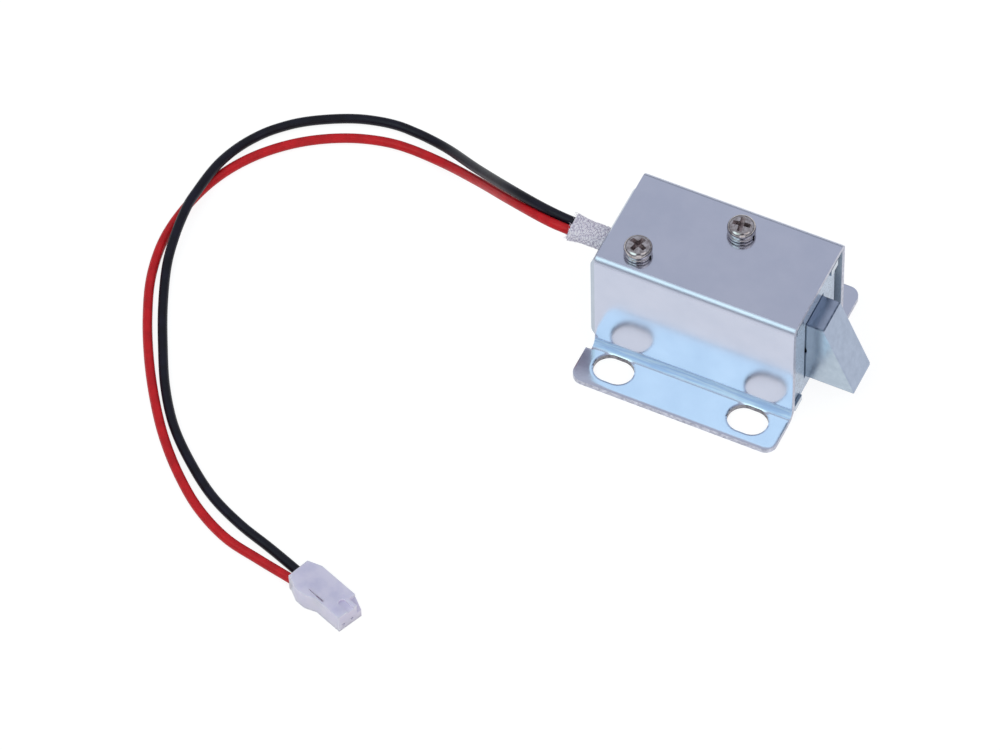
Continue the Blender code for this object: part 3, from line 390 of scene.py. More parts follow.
# Painted light: a lighter copy of the plug's plastic for its steep sides.
PLUG_SIDE_PAINTED_LIGHT = simple(
    "plug_side_painted_light_looks", rgb(242, 231, 246), rgb(234, 225, 243), 0.0, 0.42, 3.0, 0.25, 0.01, **MILKY
)


# Mesh code


def mesh_of(shape, place=None):
    """A mesh in the frame's metres from a bmesh in the drawing's millimetres."""
    bmesh.ops.recalc_face_normals(shape, faces=shape.faces)
    shape.transform(place or Matrix.Identity(4))
    for corner in shape.verts:
        corner.co = at(*corner.co)
    mesh = bpy.data.meshes.new("shape")
    shape.to_mesh(mesh)
    shape.free()
    return mesh


def skin(shape, rings):
    """Faces between closed rings of corners that follow each other."""
    for first, second in zip(rings, rings[1:]):
        for index in range(len(first)):
            shape.faces.new([first[index - 1], first[index], second[index], second[index - 1]])


def cap(shape, rings):
    """Closes the first and the last ring."""
    shape.faces.new(rings[0])
    shape.faces.new(rings[-1][::-1])


def link(name, data):
    made = bpy.data.objects.new(name, data)
    bpy.context.scene.collection.objects.link(made)
    return made


def baked(made):
    """Turns an object's modifiers into its mesh."""
    depsgraph = bpy.context.evaluated_depsgraph_get()
    depsgraph.update()
    mesh = bpy.data.meshes.new_from_object(made.evaluated_get(depsgraph))
    old = made.data
    made.modifiers.clear()
    made.data = mesh
    bpy.data.meshes.remove(old)


def cut(made, shape, operation="DIFFERENCE", place=None):
    """One Boolean with a closed tool, applied at once."""
    tool = link("tool", mesh_of(shape, place))
    change = made.modifiers.new("cut", "BOOLEAN")
    change.operation = operation
    change.solver = "EXACT"
    change.object = tool
    baked(made)
    old = tool.data
    bpy.data.objects.remove(tool)
    bpy.data.meshes.remove(old)


def smooth(made, angle):
    """Smooth shading, with creases where faces meet at more than the angle."""
    mesh = made.data
    mesh.polygons.foreach_set("use_smooth", [True] * len(mesh.polygons))
    mesh.set_sharp_from_angle(angle=radians(angle))


def in_order(shape):
    """Sorts a mesh by place, because a Boolean leaves its corners and faces in no fixed order."""
    def key(part):
        corners = [part] if isinstance(part, bmesh.types.BMVert) else list(part.verts)
        middle = sum((corner.co for corner in corners), Vector()) / len(corners)
        return tuple(round(value * 1e7) for value in middle)

    for parts in (shape.verts, shape.edges, shape.faces):
        for number, part in enumerate(sorted(parts, key=key)):
            part.index = number
        parts.sort()


def rounded(made, width, segments, angle, weight=None):
    """Rounds the edges sharper than the angle; weight gives an edge's share of the width."""
    shape = bmesh.new()
    shape.from_mesh(made.data)
    in_order(shape)
    bmesh.ops.remove_doubles(shape, verts=shape.verts, dist=0.000002)
    bmesh.ops.dissolve_limit(
        shape, angle_limit=radians(0.5), verts=shape.verts, edges=shape.edges, delimit={"NORMAL"}
    )
    in_order(shape)
    layer = shape.edges.layers.float.new("bevel_weight_edge")
    for edge in shape.edges:
        if len(edge.link_faces) == 2 and edge.calc_face_angle() > radians(angle):
            edge[layer] = weight(edge) if weight else 1.0
    shape.to_mesh(made.data)
    shape.free()
    change = made.modifiers.new("edges", "BEVEL")
    change.width = width / 1000
    change.segments = segments
    change.limit_method = "WEIGHT"
    change.harden_normals = False
    baked(made)
    smooth(made, 30.0)
    even = made.modifiers.new("normals", "WEIGHTED_NORMAL")
    even.keep_sharp = True
    even.weight = 60
    baked(made)


def finished(made, material, slot, body, *nodes):
    """Gives a piece its material and the body it rides on, and hides the CAD nodes it stands for; the slot is
    not used.
    """
    made.data.materials.clear()
    made.data.materials.append(material)
    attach(made, body)
    if nodes:
        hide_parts(*nodes)
    return made


def box(shape, low, high):
    low = Vector(low)
    high = Vector(high)
    place = Matrix.Translation((low + high) / 2) @ Matrix.Diagonal((*(high - low), 1))
    bmesh.ops.create_cube(shape, size=1, matrix=place)


def cylinder(shape, radius, start, end, steps=64):
    start = Vector(start)
    end = Vector(end)
    along = end - start
    turn = Vector((0, 0, 1)).rotation_difference(along).to_matrix().to_4x4()
    place = Matrix.Translation((start + end) / 2) @ turn
    bmesh.ops.create_cone(
        shape, cap_ends=True, segments=steps, radius1=radius, radius2=radius, depth=along.length, matrix=place
    )


def prism(shape, corners, travel):
    """A flat outline drawn out along a way."""
    face = shape.faces.new([shape.verts.new(corner) for corner in corners])
    grown = bmesh.ops.extrude_face_region(shape, geom=[face])
    moved = [part for part in grown["geom"] if isinstance(part, bmesh.types.BMVert)]
    bmesh.ops.translate(shape, verts=moved, vec=travel)


def obround(shape, length, width, low, high, along, steps=72):
    """A bar of long round section from low to high; along is the way of its length."""
    radius = width / 2
    half = length / 2 - radius
    low = Vector(low)
    high = Vector(high)
    along = Vector(along)
    across = (high - low).normalized().cross(along)
    ring = []
    for step in range(steps):
        angle = 2 * pi * (step + 0.5) / steps
        side = half if cos(angle) > 0 else -half
        ring.append(low + along * (side + radius * cos(angle)) + across * radius * sin(angle))
    prism(shape, ring, high - low)


def arc(centre, radius, start, end, steps=14):
    """Points of an arc, its angles in degrees."""
    points = []
    for step in range(steps + 1):
        angle = radians(start + (end - start) * step / steps)
        points.append((centre[0] + radius * cos(angle), centre[1] + radius * sin(angle)))
    return points


def sheet_of(line, thick):
    """Closed section of a sheet from its middle line."""
    left, right = [], []
    for index, point in enumerate(line):
        before = Vector(line[max(index - 1, 0)])
        after = Vector(line[min(index + 1, len(line) - 1)])
        along = (after - before).normalized()
        across = Vector((-along.y, along.x)) * thick / 2
        left.append(Vector(point) + across)
        right.append(Vector(point) - across)
    return left + right[::-1]


# Camera and cords


def smooth_line(route, step, lowest):
    """Points at an even step along a smooth curve through the route, none under the lowest height."""
    route = [Vector(point) for point in route]
    ends = [2 * route[0] - route[1]] + route + [2 * route[-1] - route[-2]]
    fine = []
    for before, first, second, after in zip(ends, ends[1:], ends[2:], ends[3:]):
        for part in range(20):
            t = part / 20
            fine.append(
                0.5 * (
                    2 * first + (second - before) * t + (2 * before - 5 * first + 4 * second - after) * t ** 2
                    + (3 * first - before - 3 * second + after) * t ** 3
                )
            )
    fine.append(route[-1])
    lengths = [0.0]
    for first, second in zip(fine, fine[1:]):
        lengths.append(lengths[-1] + (second - first).length)
    count = round(lengths[-1] / step)
    line = []
    index = 0
    for number in range(count + 1):
        wanted = lengths[-1] * number / count
        while index < len(fine) - 2 and lengths[index + 1] < wanted:
            index += 1
        share = (wanted - lengths[index]) / (lengths[index + 1] - lengths[index])
        point = fine[index].lerp(fine[index + 1], share)
        point.z = max(point.z, lowest)
        line.append(point)
    return line


def plug_point(x, y, z):
    """A point of the plug's own axes in the drawing."""
    return PLUG_AT + Matrix.Rotation(radians(PLUG_HEADING), 3, "Z") @ Vector((x, y, z))


def set_camera():
    """The photograph's own view."""
    data = bpy.data.cameras.new("camera")
    data.lens = 258.509
    data.sensor_width = 36
    data.clip_start = 0.05
    data.clip_end = 20
    made = link("camera", data)
    made.location = (0.32599, -0.74038, 1.09962)
    made.rotation_euler = (0.630018, 0.017966, 0.445755)
    bpy.context.scene.camera = made


def wire(name, side, route, material, node, slot):
    """One lead: from the bobbin's lug through the sleeve, along its route and into the plug."""
    beside = SLEEVE_Y + side * WIRE_SIDE
    points = [(0.1, beside, SLEEVE_Z), (SLEEVE_END, beside, SLEEVE_Z + 0.1 + side * 0.1)]
    points += route
    points.append(plug_point(-0.3, side, 1.4))
    line = smooth_line(points, 0.9, WIRE / 2 + 0.05)
    data = bpy.data.curves.new(name, "CURVE")
    data.dimensions = "3D"
    data.bevel_depth = WIRE / 2000
    data.bevel_resolution = 7
    data.use_fill_caps = True
    spline = data.splines.new("POLY")
    spline.points.add(len(line) - 1)
    for point, place in zip(spline.points, line):
        point.co = (*at(*place), 1)
    spline.use_smooth = True
    made = link(name, data)
    length = sum((second - first).length for first, second in zip(line, line[1:])) / 1000
    return finished(made, material, slot, "lock_body", node), at(*line[0]), length


# Pieces


def even_stops(marks, steps):
    """Stops that run through the marks, with this many even steps between each two."""
    stops = [marks[0]]
    for first, last, count in zip(marks, marks[1:], steps):
        stops += [first + (last - first) * (step + 1) / count for step in range(count)]
    return stops


def off_slot(x, y, slot_x):
    """How far a point lies outside a flange's slot."""
    along = max(abs(x - slot_x) - (SLOT[0] - SLOT[1]) / 2, 0)
    return sqrt(along ** 2 + (abs(y) - WIDTH / 2 - SLOT_OUT) ** 2) - SLOT[1] / 2


def edge_drop(x, y):
    """How far the punch has drawn the sheet's outer side down, beside its cut edges."""
    if abs(y) > WIDTH / 2 + FLANGE_BEND:
        from_end = min(x + TAIL, LENGTH - x)
        from_edge = WIDTH / 2 + FLANGE - abs(y)
        ease = 0.6 if x < LENGTH / 2 else 0.1
        if from_end < CORNER and from_edge < CORNER:
            off = max(sqrt((CORNER - from_end) ** 2 + (CORNER - from_edge) ** 2), 0.001)
            inward = CORNER - off + ease * (CORNER - from_end) / off
        else:
            inward = min(from_edge, from_end + ease)
    else:
        inward = 0.4 + min(x, LENGTH - x)
    drop = EDGE_DROP * max(0.0, 1 - max(inward, 0) / EDGE_REACH) ** 2
    for slot_x in SLOTS_X:
        around = off_slot(x, y, slot_x)
        drop = max(drop, SLOT_DROP * max(0.0, 1 - max(around, 0) / SLOT_REACH) ** 2)
    return drop


def bracket_finish(place, normal):
    """0 plated outside, 1 plated inside with painted light, 2 sheared edge, 3 wall of a slot with painted
    shade.
    """
    inside = WIDTH / 2 - SHEET + 0.05
    if abs(place.y) > WIDTH / 2 + 0.5 and place.z < SHEET and abs(normal.z) < 0.3:
        return 3 if min(off_slot(place.x, place.y, slot_x) for slot_x in SLOTS_X) < 0.1 else 2
    if abs(normal.x) > 0.7:
        return 2
    return 1 if abs(place.y) < inside and place.z < HEIGHT - SHEET + 0.05 else 0


def bracket_line():
    """The sheet's outer side across the bend, as (y, z, y of the way out, z of the way out)."""
    wall = WIDTH / 2
    outer = TOP_BEND + SHEET
    foot = (-wall - FLANGE_BEND, SHEET + FLANGE_BEND)
    half = [(-y, SHEET, 0, 1) for y in even_stops([wall + FLANGE, wall + FLANGE_BEND], [40])]
    for y, z in arc(foot, FLANGE_BEND, -90, 0, 16)[1:]:
        half.append((y, z, (foot[0] - y) / FLANGE_BEND, (foot[1] - z) / FLANGE_BEND))
    for z in even_stops([foot[1], HEIGHT - outer], [8])[1:]:
        half.append((-wall, z, -1, 0))
    for y, z in arc((-wall + outer, HEIGHT - outer), outer, 180, 90, 14)[1:]:
        half.append((y, z, (y + wall - outer) / outer, (z - HEIGHT + outer) / outer))
    return half + [(-y, z, -across, up) for y, z, across, up in reversed(half)]


def bent_sheet():
    """The sheet before its holes, with the punch's rounded side drawn along its edges."""
    shape = bmesh.new()
    line = bracket_line()
    columns = even_stops([-TAIL, 0, END_RUN, LENGTH - END_RUN, LENGTH], [6, 10, 150, 10])
    rows = []
    for thick in (0.0, SHEET):
        for y, z, across, up in line:
            row = []
            for x in columns:
                drop = thick if thick else edge_drop(x, y)
                row.append(shape.verts.new((x, y - across * drop, z - up * drop)))
            rows.append(row)
        line = line[::-1]
    rows.append(rows[0])
    for first, second in zip(rows, rows[1:]):
        for index in range(1, len(columns)):
            shape.faces.new([first[index - 1], first[index], second[index], second[index - 1]])
    for end in (0, -1):
        for index in range(1, len(line)):
            near = [rows[index - 1][end], rows[index][end]]
            far = [rows[-1 - index - 1][end], rows[-1 - index][end]]
            ring = near + far
            shape.faces.new(ring if end else ring[::-1])
    return shape


def bracket_holes():
    """What is cut from the sheet: all between the tails, the outer corners, the slots and screw holes."""
    wall = WIDTH / 2
    tool = bmesh.new()
    box(tool, (-TAIL - 1, -wall - FLANGE_BEND, -1), (0, wall + FLANGE_BEND, HEIGHT + 1))
    for end, turn_x in ((-TAIL, 1), (LENGTH, -1)):
        for turn_y in (-1, 1):
            corner_y = turn_y * (wall + FLANGE)
            centre = (end + turn_x * CORNER, corner_y - turn_y * CORNER)
            start = 180 if turn_x > 0 else 0
            curve = arc(centre, CORNER, start, 90 * turn_y if turn_x < 0 or turn_y > 0 else 270, 16)
            corners = [(end - turn_x, curve[0][1]), *curve, (curve[-1][0], corner_y + turn_y)]
            corners.append((end - turn_x, corner_y + turn_y))
            prism(tool, [(x, y, -1) for x, y in corners], (0, 0, SHEET + 2))
    for x in SLOTS_X:
        for y in (-wall - SLOT_OUT, wall + SLOT_OUT):
            obround(tool, *SLOT, (x, y, -1), (x, y, SHEET + 2), (1, 0, 0))
    for x, y, turn in SCREWS.values():
        cylinder(tool, HOLE / 2, (x, y, HEIGHT - SHEET - 1), (x, y, HEIGHT + 1))
    return tool


def bracket():
    """The bent sheet with plated, sheared and punched surfaces; its inside carries painted light and the
    slots' walls painted shade.
    """
    made = link("bracket_looks", mesh_of(bent_sheet()))
    cut(made, bracket_holes())
    smooth(made, 32.0)
    finished(made, ZINC, "zinc_plate", "lock_body", "mounting_bracket")
    # The inside gets a lighter copy of the zinc (painted light) and the slots' walls a darker one (painted
    # shade).
    for material in (INSIDE_ZINC_PAINTED_LIGHT, SHEARED, SLOT_WALL_PAINTED_SHADE):
        made.data.materials.append(material)
    for face in made.data.polygons:
        face.material_index = bracket_finish(face.center * 1000 + Vector((MIDDLE_X, 0, 0)), face.normal)
    return made


def yoke():
    """U-shaped frame with its tabs, rivet hole, screw holes and the sleeve's oval hole."""
    half = FRAME_SHEET / 2
    radius = FRAME_BEND + half
    left = FRAME_LEFT + half
    low = FRAME_LOW + half
    high = FRAME_HIGH - half
    line = [(LENGTH, high)]
    line += arc((left + radius, high - radius), radius, 90, 180)
    line += arc((left + radius, low + radius), radius, 180, 270)
    line.append((LENGTH, low))
    side = FRAME_WIDTH / 2
    section = [(x, AXIS.y - side, z) for x, z in sheet_of(line, FRAME_SHEET)]
    shape = bmesh.new()
    prism(shape, section, (0, FRAME_WIDTH, 0))
    made = link("yoke_looks", mesh_of(shape))

    tool = bmesh.new()
    inner = side - TAB
    outside, inside = FRAME_LEFT - 1, FRAME_LEFT + 3
    box(tool, (PLATE_FACE - FRAME_SHEET - GAP, AXIS.y - inner, -1), (LENGTH + 1, AXIS.y + inner, HEIGHT))
    cylinder(tool, RIVET_HOLE / 2, (outside, AXIS.y, AXIS.z), (inside, AXIS.y, AXIS.z))
    for x, y, turn in SCREWS.values():
        cylinder(tool, HOLE / 2, (x, y, FRAME_HIGH - 3), (x, y, FRAME_HIGH + 1))
    cut(made, tool)
    tool = bmesh.new()
    ends = [(x, SLEEVE_Y, SLEEVE_Z) for x in (outside, inside)]
    obround(tool, *SLEEVE_HOLE, *ends, (0, 1, 0))
    cut(made, tool)
    rounded(made, 0.16, 3, 40.0)
    return finished(made, FRAME_ZINC, "zinc_frame", "lock_body", "solenoid_frame")


def plate():
    """End plate, notched round the frame's tabs, with the bolt's window."""
    wide = FRAME_WIDTH / 2
    inner = wide - TAB - GAP
    low = FRAME_LOW + GAP
    high = FRAME_HIGH - GAP
    back = PLATE_FACE - FRAME_SHEET
    half_edge = [
        (inner, high), (inner, high - NOTCH), (wide, high - NOTCH),
        (wide, low + NOTCH), (inner, low + NOTCH), (inner, low),
    ]
    edge = half_edge + [(-y, z) for y, z in reversed(half_edge)]
    shape = bmesh.new()
    prism(shape, [(back, AXIS.y + y, z) for y, z in edge], (FRAME_SHEET, 0, 0))
    made = link("plate_looks", mesh_of(shape))
    tool = bmesh.new()
    half_y = BOLT_WIDTH / 2 + WINDOW_GAP
    half_z = BOLT_HALF + WINDOW_GAP
    low_corner = (back - 1, AXIS.y - half_y, AXIS.z - half_z)
    box(tool, low_corner, (PLATE_FACE + 1, AXIS.y + half_y, AXIS.z + half_z))
    long = [line for line in tool.edges if abs(line.verts[0].co.x - line.verts[1].co.x) > 1]
    bmesh.ops.bevel(tool, geom=long, offset=0.3, segments=4, profile=0.5, affect="EDGES")
    cut(made, tool)
    rounded(made, 0.12, 3, 40.0)
    return finished(made, PLATE_ZINC, "zinc_frame", "lock_body", "end_plate")


def bolt():
    """Slanted nose with two shoulders, the plunger's blind bore and the pin's cross hole."""
    high = BOLT_HALF
    side = [
        (SHOULDER_REAR, -high), (BOLT_TIP, -high), (BOLT_TIP, TIP_HEIGHT - high), (BOLT_FLAT_END, high),
        (SHOULDER_REAR, high),
    ]
    shape = bmesh.new()
    prism(shape, [(x, AXIS.y - BOLT_WIDTH / 2, AXIS.z + z) for x, z in side], (0, BOLT_WIDTH, 0))
    made = link("bolt_looks", mesh_of(shape))
    tool = bmesh.new()
    wide = BOLT_WIDTH / 2 + SHOULDER
    tall = high + SHOULDER
    low = (SHOULDER_REAR, AXIS.y - wide, AXIS.z - tall)
    box(tool, low, (SHOULDER_FRONT, AXIS.y + wide, AXIS.z + tall))
    cut(made, tool, "UNION")
    tool = bmesh.new()
    cylinder(tool, BORE / 2, (SHOULDER_REAR - 1, AXIS.y, AXIS.z), (BORE_END, AXIS.y, AXIS.z))
    cylinder(tool, PIN_HOLE / 2, (PIN_X, AXIS.y - 5, AXIS.z), (PIN_X, AXIS.y + 5, AXIS.z), 32)
    cut(made, tool)
    rounded(made, 0.22, 3, 30.0)
    finished(made, BOLT_ZINC, "bolt_steel", "bolt_body", "bolt")
    # The rounded long edges at top and bottom get the darker copy: painted dark reflection.
    made.data.materials.append(BOLT_EDGE_PAINTED_DARK)
    # The broad sides get the lighter copy of the zinc: painted light.
    made.data.materials.append(BOLT_SIDE_PAINTED_LIGHT)
    slant = Vector((2 * BOLT_HALF - TIP_HEIGHT, 0, BOLT_TIP - BOLT_FLAT_END)).normalized()
    for face in made.data.polygons:
        on_edge = max(*(abs(part) for part in face.normal), face.normal.dot(slant)) < 0.985
        if on_edge and abs(face.center.z * 1000 - AXIS.z) > BOLT_HALF - 0.3:
            face.material_index = 1
        elif abs(face.normal.y) > 0.98:
            face.material_index = 2
    return made


def spring():
    """Coil spring between its seat and the bolt's shoulders."""
    low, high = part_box("return_spring")
    low = Vector(low) * 1000 + Vector((MIDDLE_X, 0, 0))
    high = Vector(high) * 1000 + Vector((MIDDLE_X, 0, 0))
    thin = SPRING_WIRE / 2
    radius = (high.y - low.y) / 2 - thin
    long = high.x - low.x
    steps = SPRING_TURNS * 36
    shape = bmesh.new()
    rings = []
    for step in range(steps + 1):
        angle = 2 * pi * SPRING_TURNS * step / steps
        x = low.x + thin + (long - SPRING_WIRE) * step / steps
        ring = []
        for side in range(10):
            round_wire = 2 * pi * side / 10
            out = radius + thin * cos(round_wire)
            place = (x + thin * sin(round_wire), AXIS.y + out * cos(angle), AXIS.z + out * sin(angle))
            ring.append(shape.verts.new(place))
        rings.append(ring)
    skin(shape, rings)
    cap(shape, rings)
    made = link("spring_looks", mesh_of(shape))
    smooth(made, 50.0)
    finished(made, SPRING, "spring_steel", "lock_body", "return_spring")
    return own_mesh(made, "bolt_slide", (1, 0, 0), at(low.x, AXIS.y, AXIS.z), (long - TRAVEL) / long)


def screw_profile():
    """Half section of shank and head, from the axis out and back to it."""
    head = SCREW_HEAD / 2
    profile = [(0, -SHANK_LONG), (SHANK / 2, -SHANK_LONG), (SHANK / 2, 0)]
    profile += [(head - 0.14, 0), (head - 0.04, 0.04), (head, 0.14)]
    profile += arc((head - SCREW_RIM, SCREW_TALL - SCREW_DOME - SCREW_RIM), SCREW_RIM, 0, 82, 10)
    flat_x, flat_z = profile[-1]
    for step in range(1, 9):
        share = step / 8
        profile.append((flat_x * (1 - share), flat_z + (SCREW_TALL - flat_z) * (1 - (1 - share) ** 2)))
    return profile


def recess_bar(quarter):
    """One tapering bar of the cross recess."""
    tool = bmesh.new()
    spin = Matrix.Rotation(quarter * pi / 2, 3, "Z")
    rings = []
    for over, arm, thick in RECESS_ENDS:
        corners = [(-arm, -thick), (arm, -thick), (arm, thick), (-arm, thick)]
        rings.append([tool.verts.new(spin @ Vector((*corner, SCREW_TALL + over))) for corner in corners])
    top, floor = rings
    tool.faces.new(top)
    tool.faces.new(floor[::-1])
    for index in range(4):
        after = (index + 1) % 4
        tool.faces.new([top[index], floor[index], floor[after], top[after]])
    return tool


def screw(side):
    """Pan head with a flat middle, a rounded rim and a tapering cross recess."""
    x, y, turn = SCREWS[side]
    shape = bmesh.new()
    row = [shape.verts.new((radius, 0, height)) for radius, height in screw_profile()]
    edges = [shape.edges.new(pair) for pair in zip(row, row[1:])]
    bmesh.ops.spin(shape, geom=row + edges, axis=(0, 0, 1), cent=(0, 0, 0), angle=2 * pi, steps=72)
    bmesh.ops.remove_doubles(shape, verts=shape.verts, dist=0.001)
    place = Matrix.Translation((x, y, HEAD_AT)) @ Matrix.Rotation(radians(turn), 4, "Z")
    made = link("screw_looks_" + side, mesh_of(shape, place))
    for quarter in range(2):
        cut(made, recess_bar(quarter), place=place)
    rounded(made, 0.07, 2, 32.0)
    finished(made, NICKEL, "nickel", "lock_body", "screw_" + side)
    # The recess faces get the darker copy: painted shade.
    made.data.materials.append(RECESS_PAINTED_SHADE)
    centre = at(x, y, 0)
    for face in made.data.polygons:
        middle = face.center - centre
        deep = HEAD_AT + SCREW_TALL - 0.16 > middle.z * 1000 > HEAD_AT + 0.3
        if deep and middle.xy.length < 0.00185:
            face.material_index = 1
    return made


def washer(side):
    """Split spring washer: a ring of rounded section that rises a little and stays open."""
    x, y, turn = SCREWS[side]
    near = HOLE / 2 + WASHER_ROUND
    far = WASHER_OUTER - WASHER_ROUND
    top = WASHER_THICK - WASHER_ROUND
    section = []
    for centre, start in (
        ((far, WASHER_ROUND), -90), ((far, top), 0), ((near, top), 90), ((near, WASHER_ROUND), 180),
    ):
        section += arc(centre, WASHER_ROUND, start, start + 90, 3)
    steps = 96
    shape = bmesh.new()
    rings = []
    for step in range(steps + 1):
        angle = radians((360 - WASHER_OPEN) * step / steps)
        lift = WASHER_RISE * step / steps
        rings.append([
            shape.verts.new((radius * cos(angle), radius * sin(angle), height + lift))
            for radius, height in section
        ])
    skin(shape, rings)
    cap(shape, rings)
    made = link("washer_looks_" + side, mesh_of(shape, Matrix.Translation((x, y, HEIGHT + 0.02))))
    smooth(made, 50.0)
    return finished(made, NICKEL, "nickel", "lock_body", "lock_washer_" + side)


def braid_material():
    """Glass yarn with painted shade: darker where the weave's own depth says that it lies low."""
    made, shader, nodes, links = shader_of("braid_looks", rgb(232, 232, 236), 0.0, 0.7)
    shade = nodes.new("ShaderNodeAttribute")
    shade.attribute_name = "depth"
    colour = ramp(
        nodes, links, shade.outputs["Fac"],
        [(0.2, rgb(180, 168, 186)), (0.6, rgb(211, 201, 216)), (1.0, rgb(246, 238, 244))],
    )
    links.new(colour, shader.inputs["Base Color"])
    threads = noise(nodes, links, 9.0, 2.0, 0.5)
    links.new(bump(nodes, links, threads, 0.5, 0.03), shader.inputs["Normal"])
    return made


def oval(wide, high, share):
    """A point on a flat oval and the way out of it, at a share of its way round."""
    side = wide - high
    straight = 2 * side
    bow = pi * high
    way = (share % 1.0) * 2 * (straight + bow)
    if way < straight:
        return side - way, high, 0.0, 1.0
    way -= straight
    if way < bow:
        angle = pi / 2 + way / high
        return -side + high * cos(angle), high * sin(angle), cos(angle), sin(angle)
    way -= bow
    if way < straight:
        return way - side, -high, 0.0, -1.0
    angle = -pi / 2 + (way - straight) / high
    return side + high * cos(angle), high * sin(angle), cos(angle), sin(angle)


def on_sleeve(share, turn, out):
    """A point of the sleeve, which widens toward its mouth, at a height over its wall."""
    flare = 0.45 * max(0.0, (share - 0.6) / 0.4) ** 2
    across, up, way_y, way_z = oval(SLEEVE_HALF_WIDE + flare, SLEEVE_HALF_HIGH + flare / 2, turn)
    return (SLEEVE_END * share, SLEEVE_Y + across + way_y * out, SLEEVE_Z + up + way_z * out)


def weave(waves, share, turn):
    """Height of the yarns, 0 to 1: two sets that pass over and under each other, not quite evenly."""
    sway = sum(sin(2 * pi * (count * share + round(across) * turn) + start) for count, across, start in waves)
    u = STRANDS * turn + BRAID_LEAD * share + 0.16 * sway
    v = STRANDS * turn - BRAID_LEAD * share + 0.14 * sway
    over = 0.5 + 0.5 * sin(2 * pi * u) * sin(2 * pi * v)
    return over * abs(sin(pi * u)) ** 0.6 + (1 - over) * abs(sin(pi * v)) ** 0.6


def sleeve():
    """Flat oval tube of braided yarn, its threads standing out, with a frayed mouth."""
    along, around = 170, 190
    shape = bmesh.new()
    depth = shape.verts.layers.float.new("depth")
    random = Random(5)
    waves = [(random.uniform(1, 5), random.uniform(-9, 9), random.uniform(0, 6)) for _ in range(6)]

    def ring_at(share, form):
        """A ring of corners; form gives how far out each one stands, and its depth, which the braid's
        material paints as shade.
        """
        ring = []
        for step in range(around):
            turn = step / around
            out, deep = form(turn)
            vertex = shape.verts.new(on_sleeve(share, turn, out))
            vertex[depth] = deep
            ring.append(vertex)
        return ring

    def woven(share):
        def form(turn):
            high = weave(waves, share, turn)
            return 0.24 * high - 0.22, high

        return ring_at(share, form)

    rings = [woven(row / along) for row in range(along + 1)]
    # The tucked rings inside the mouth get a low depth: painted shade.
    for inward, tuck in ((0.3, 0.0), (0.42, 0.02), (0.45, 0.15)):
        rings.append(ring_at(1.0 - tuck, lambda turn: (-inward, 0.3)))
    skin(shape, rings)
    for _ in range(LOOSE_THREADS):
        turn = random.random()
        start = Vector(on_sleeve(1.0, turn, -random.uniform(0.05, 0.35)))
        way = Vector((-1.0, random.uniform(-0.7, 0.7), random.uniform(-0.5, 0.6))).normalized()
        bend = Vector((0, random.uniform(-0.5, 0.5), random.uniform(-0.5, 0.5)))
        reach = random.uniform(0.25, 0.75)
        parts = [part / 4 for part in range(-1, 5)]
        hair(shape, depth, [start + way * reach * part + bend * reach * part ** 2 for part in parts])
    made = link("sleeve_looks", mesh_of(shape))
    smooth(made, 80.0)
    return finished(made, braid_material(), "glass_braid", "lock_body", "lead_sleeve")


def hair(shape, depth, line):
    """One loose thread, a thin closed tube that narrows to its end."""
    rings = []
    for number, centre in enumerate(line):
        radius = 0.06 * (1 - 0.6 * number / (len(line) - 1))
        ring = []
        for step in range(5):
            angle = 2 * pi * step / 5
            vertex = shape.verts.new(centre + Vector((0, cos(angle), sin(angle))) * radius)
            vertex[depth] = 0.8
            ring.append(vertex)
        rings.append(ring)
    skin(shape, rings)
    cap(shape, rings)


def plug():
    """Moulded shell in the plug's own axes, X toward its mating end."""
    place = Matrix.Translation(PLUG_AT) @ Matrix.Rotation(radians(PLUG_HEADING), 4, "Z")
    above = PLUG_HEIGHT + 1
    past = PLUG_LENGTH + 0.6
    shape = bmesh.new()
    prism(shape, [(x, y, 0) for x, y in PLUG_PLAN], (0, 0, PLUG_HEIGHT))
    made = link("plug_looks", mesh_of(shape, place))

    tool = bmesh.new()
    # One opening for both leads, and a slit for each contact in the mating end
    box(tool, (-1, -1.97, 0.44), (2.0, 1.97, 2.4))
    for side in (-1, 1):
        box(tool, (PLUG_LENGTH - 1.4, side - 0.3, 1.0), (PLUG_LENGTH + 1, side + 0.3, 1.6))
    # Ramp down the rear of the mating end
    prism(tool, [(x, 2.2, z) for x, z in ((11.7, 6), (11.7, 3.6), (past, 1.7), (past, 6))], (0, 3, 0))
    # Shallow start of the slit behind the latch, then the U recess with its deeper pocket
    box(tool, (5.0, -1.7, 3.7), (7.0, -1.48, above))
    obround(tool, 4.4, 1.5, (12.9, 0.75, 3.9), (12.9, 0.75, above), (1, 0, 0))
    box(tool, (12.2, 0.3, 2.6), (13.0, 1.1, PLUG_HEIGHT))
    cut(made, tool, place=place)
    tool = bmesh.new()
    box(tool, (6.95, -1.78, 2.9), (8.8, -1.42, PLUG_HEIGHT + 2))
    cut(made, tool, place=place)

    rounded(made, 0.4, 5, 30.0, lambda line: 1.0 if line.calc_length() > 0.0016 else 0.3)
    finished(made, PLUG_PLASTIC, "plug_nylon", "lock_body", "plug_housing")
    # The steep sides get the lighter copy of the plastic: painted light.
    made.data.materials.append(PLUG_SIDE_PAINTED_LIGHT)
    for face in made.data.polygons:
        if abs(face.normal.z) < 0.7:
            face.material_index = 1
    return made


# Stage


def grey(level):
    return (level, level, level, 1.0)


# From the horizon up: height and colour
SKY = [
    (0.0, grey(1.0)), (0.04, grey(1.0)), (0.1, (0.3, 0.32, 0.36, 1.0)), (0.4, (0.32, 0.34, 0.38, 1.0)),
    (0.56, (0.62, 0.645, 0.72, 1.0)), (1.0, (0.62, 0.64, 0.7, 1.0)),
]
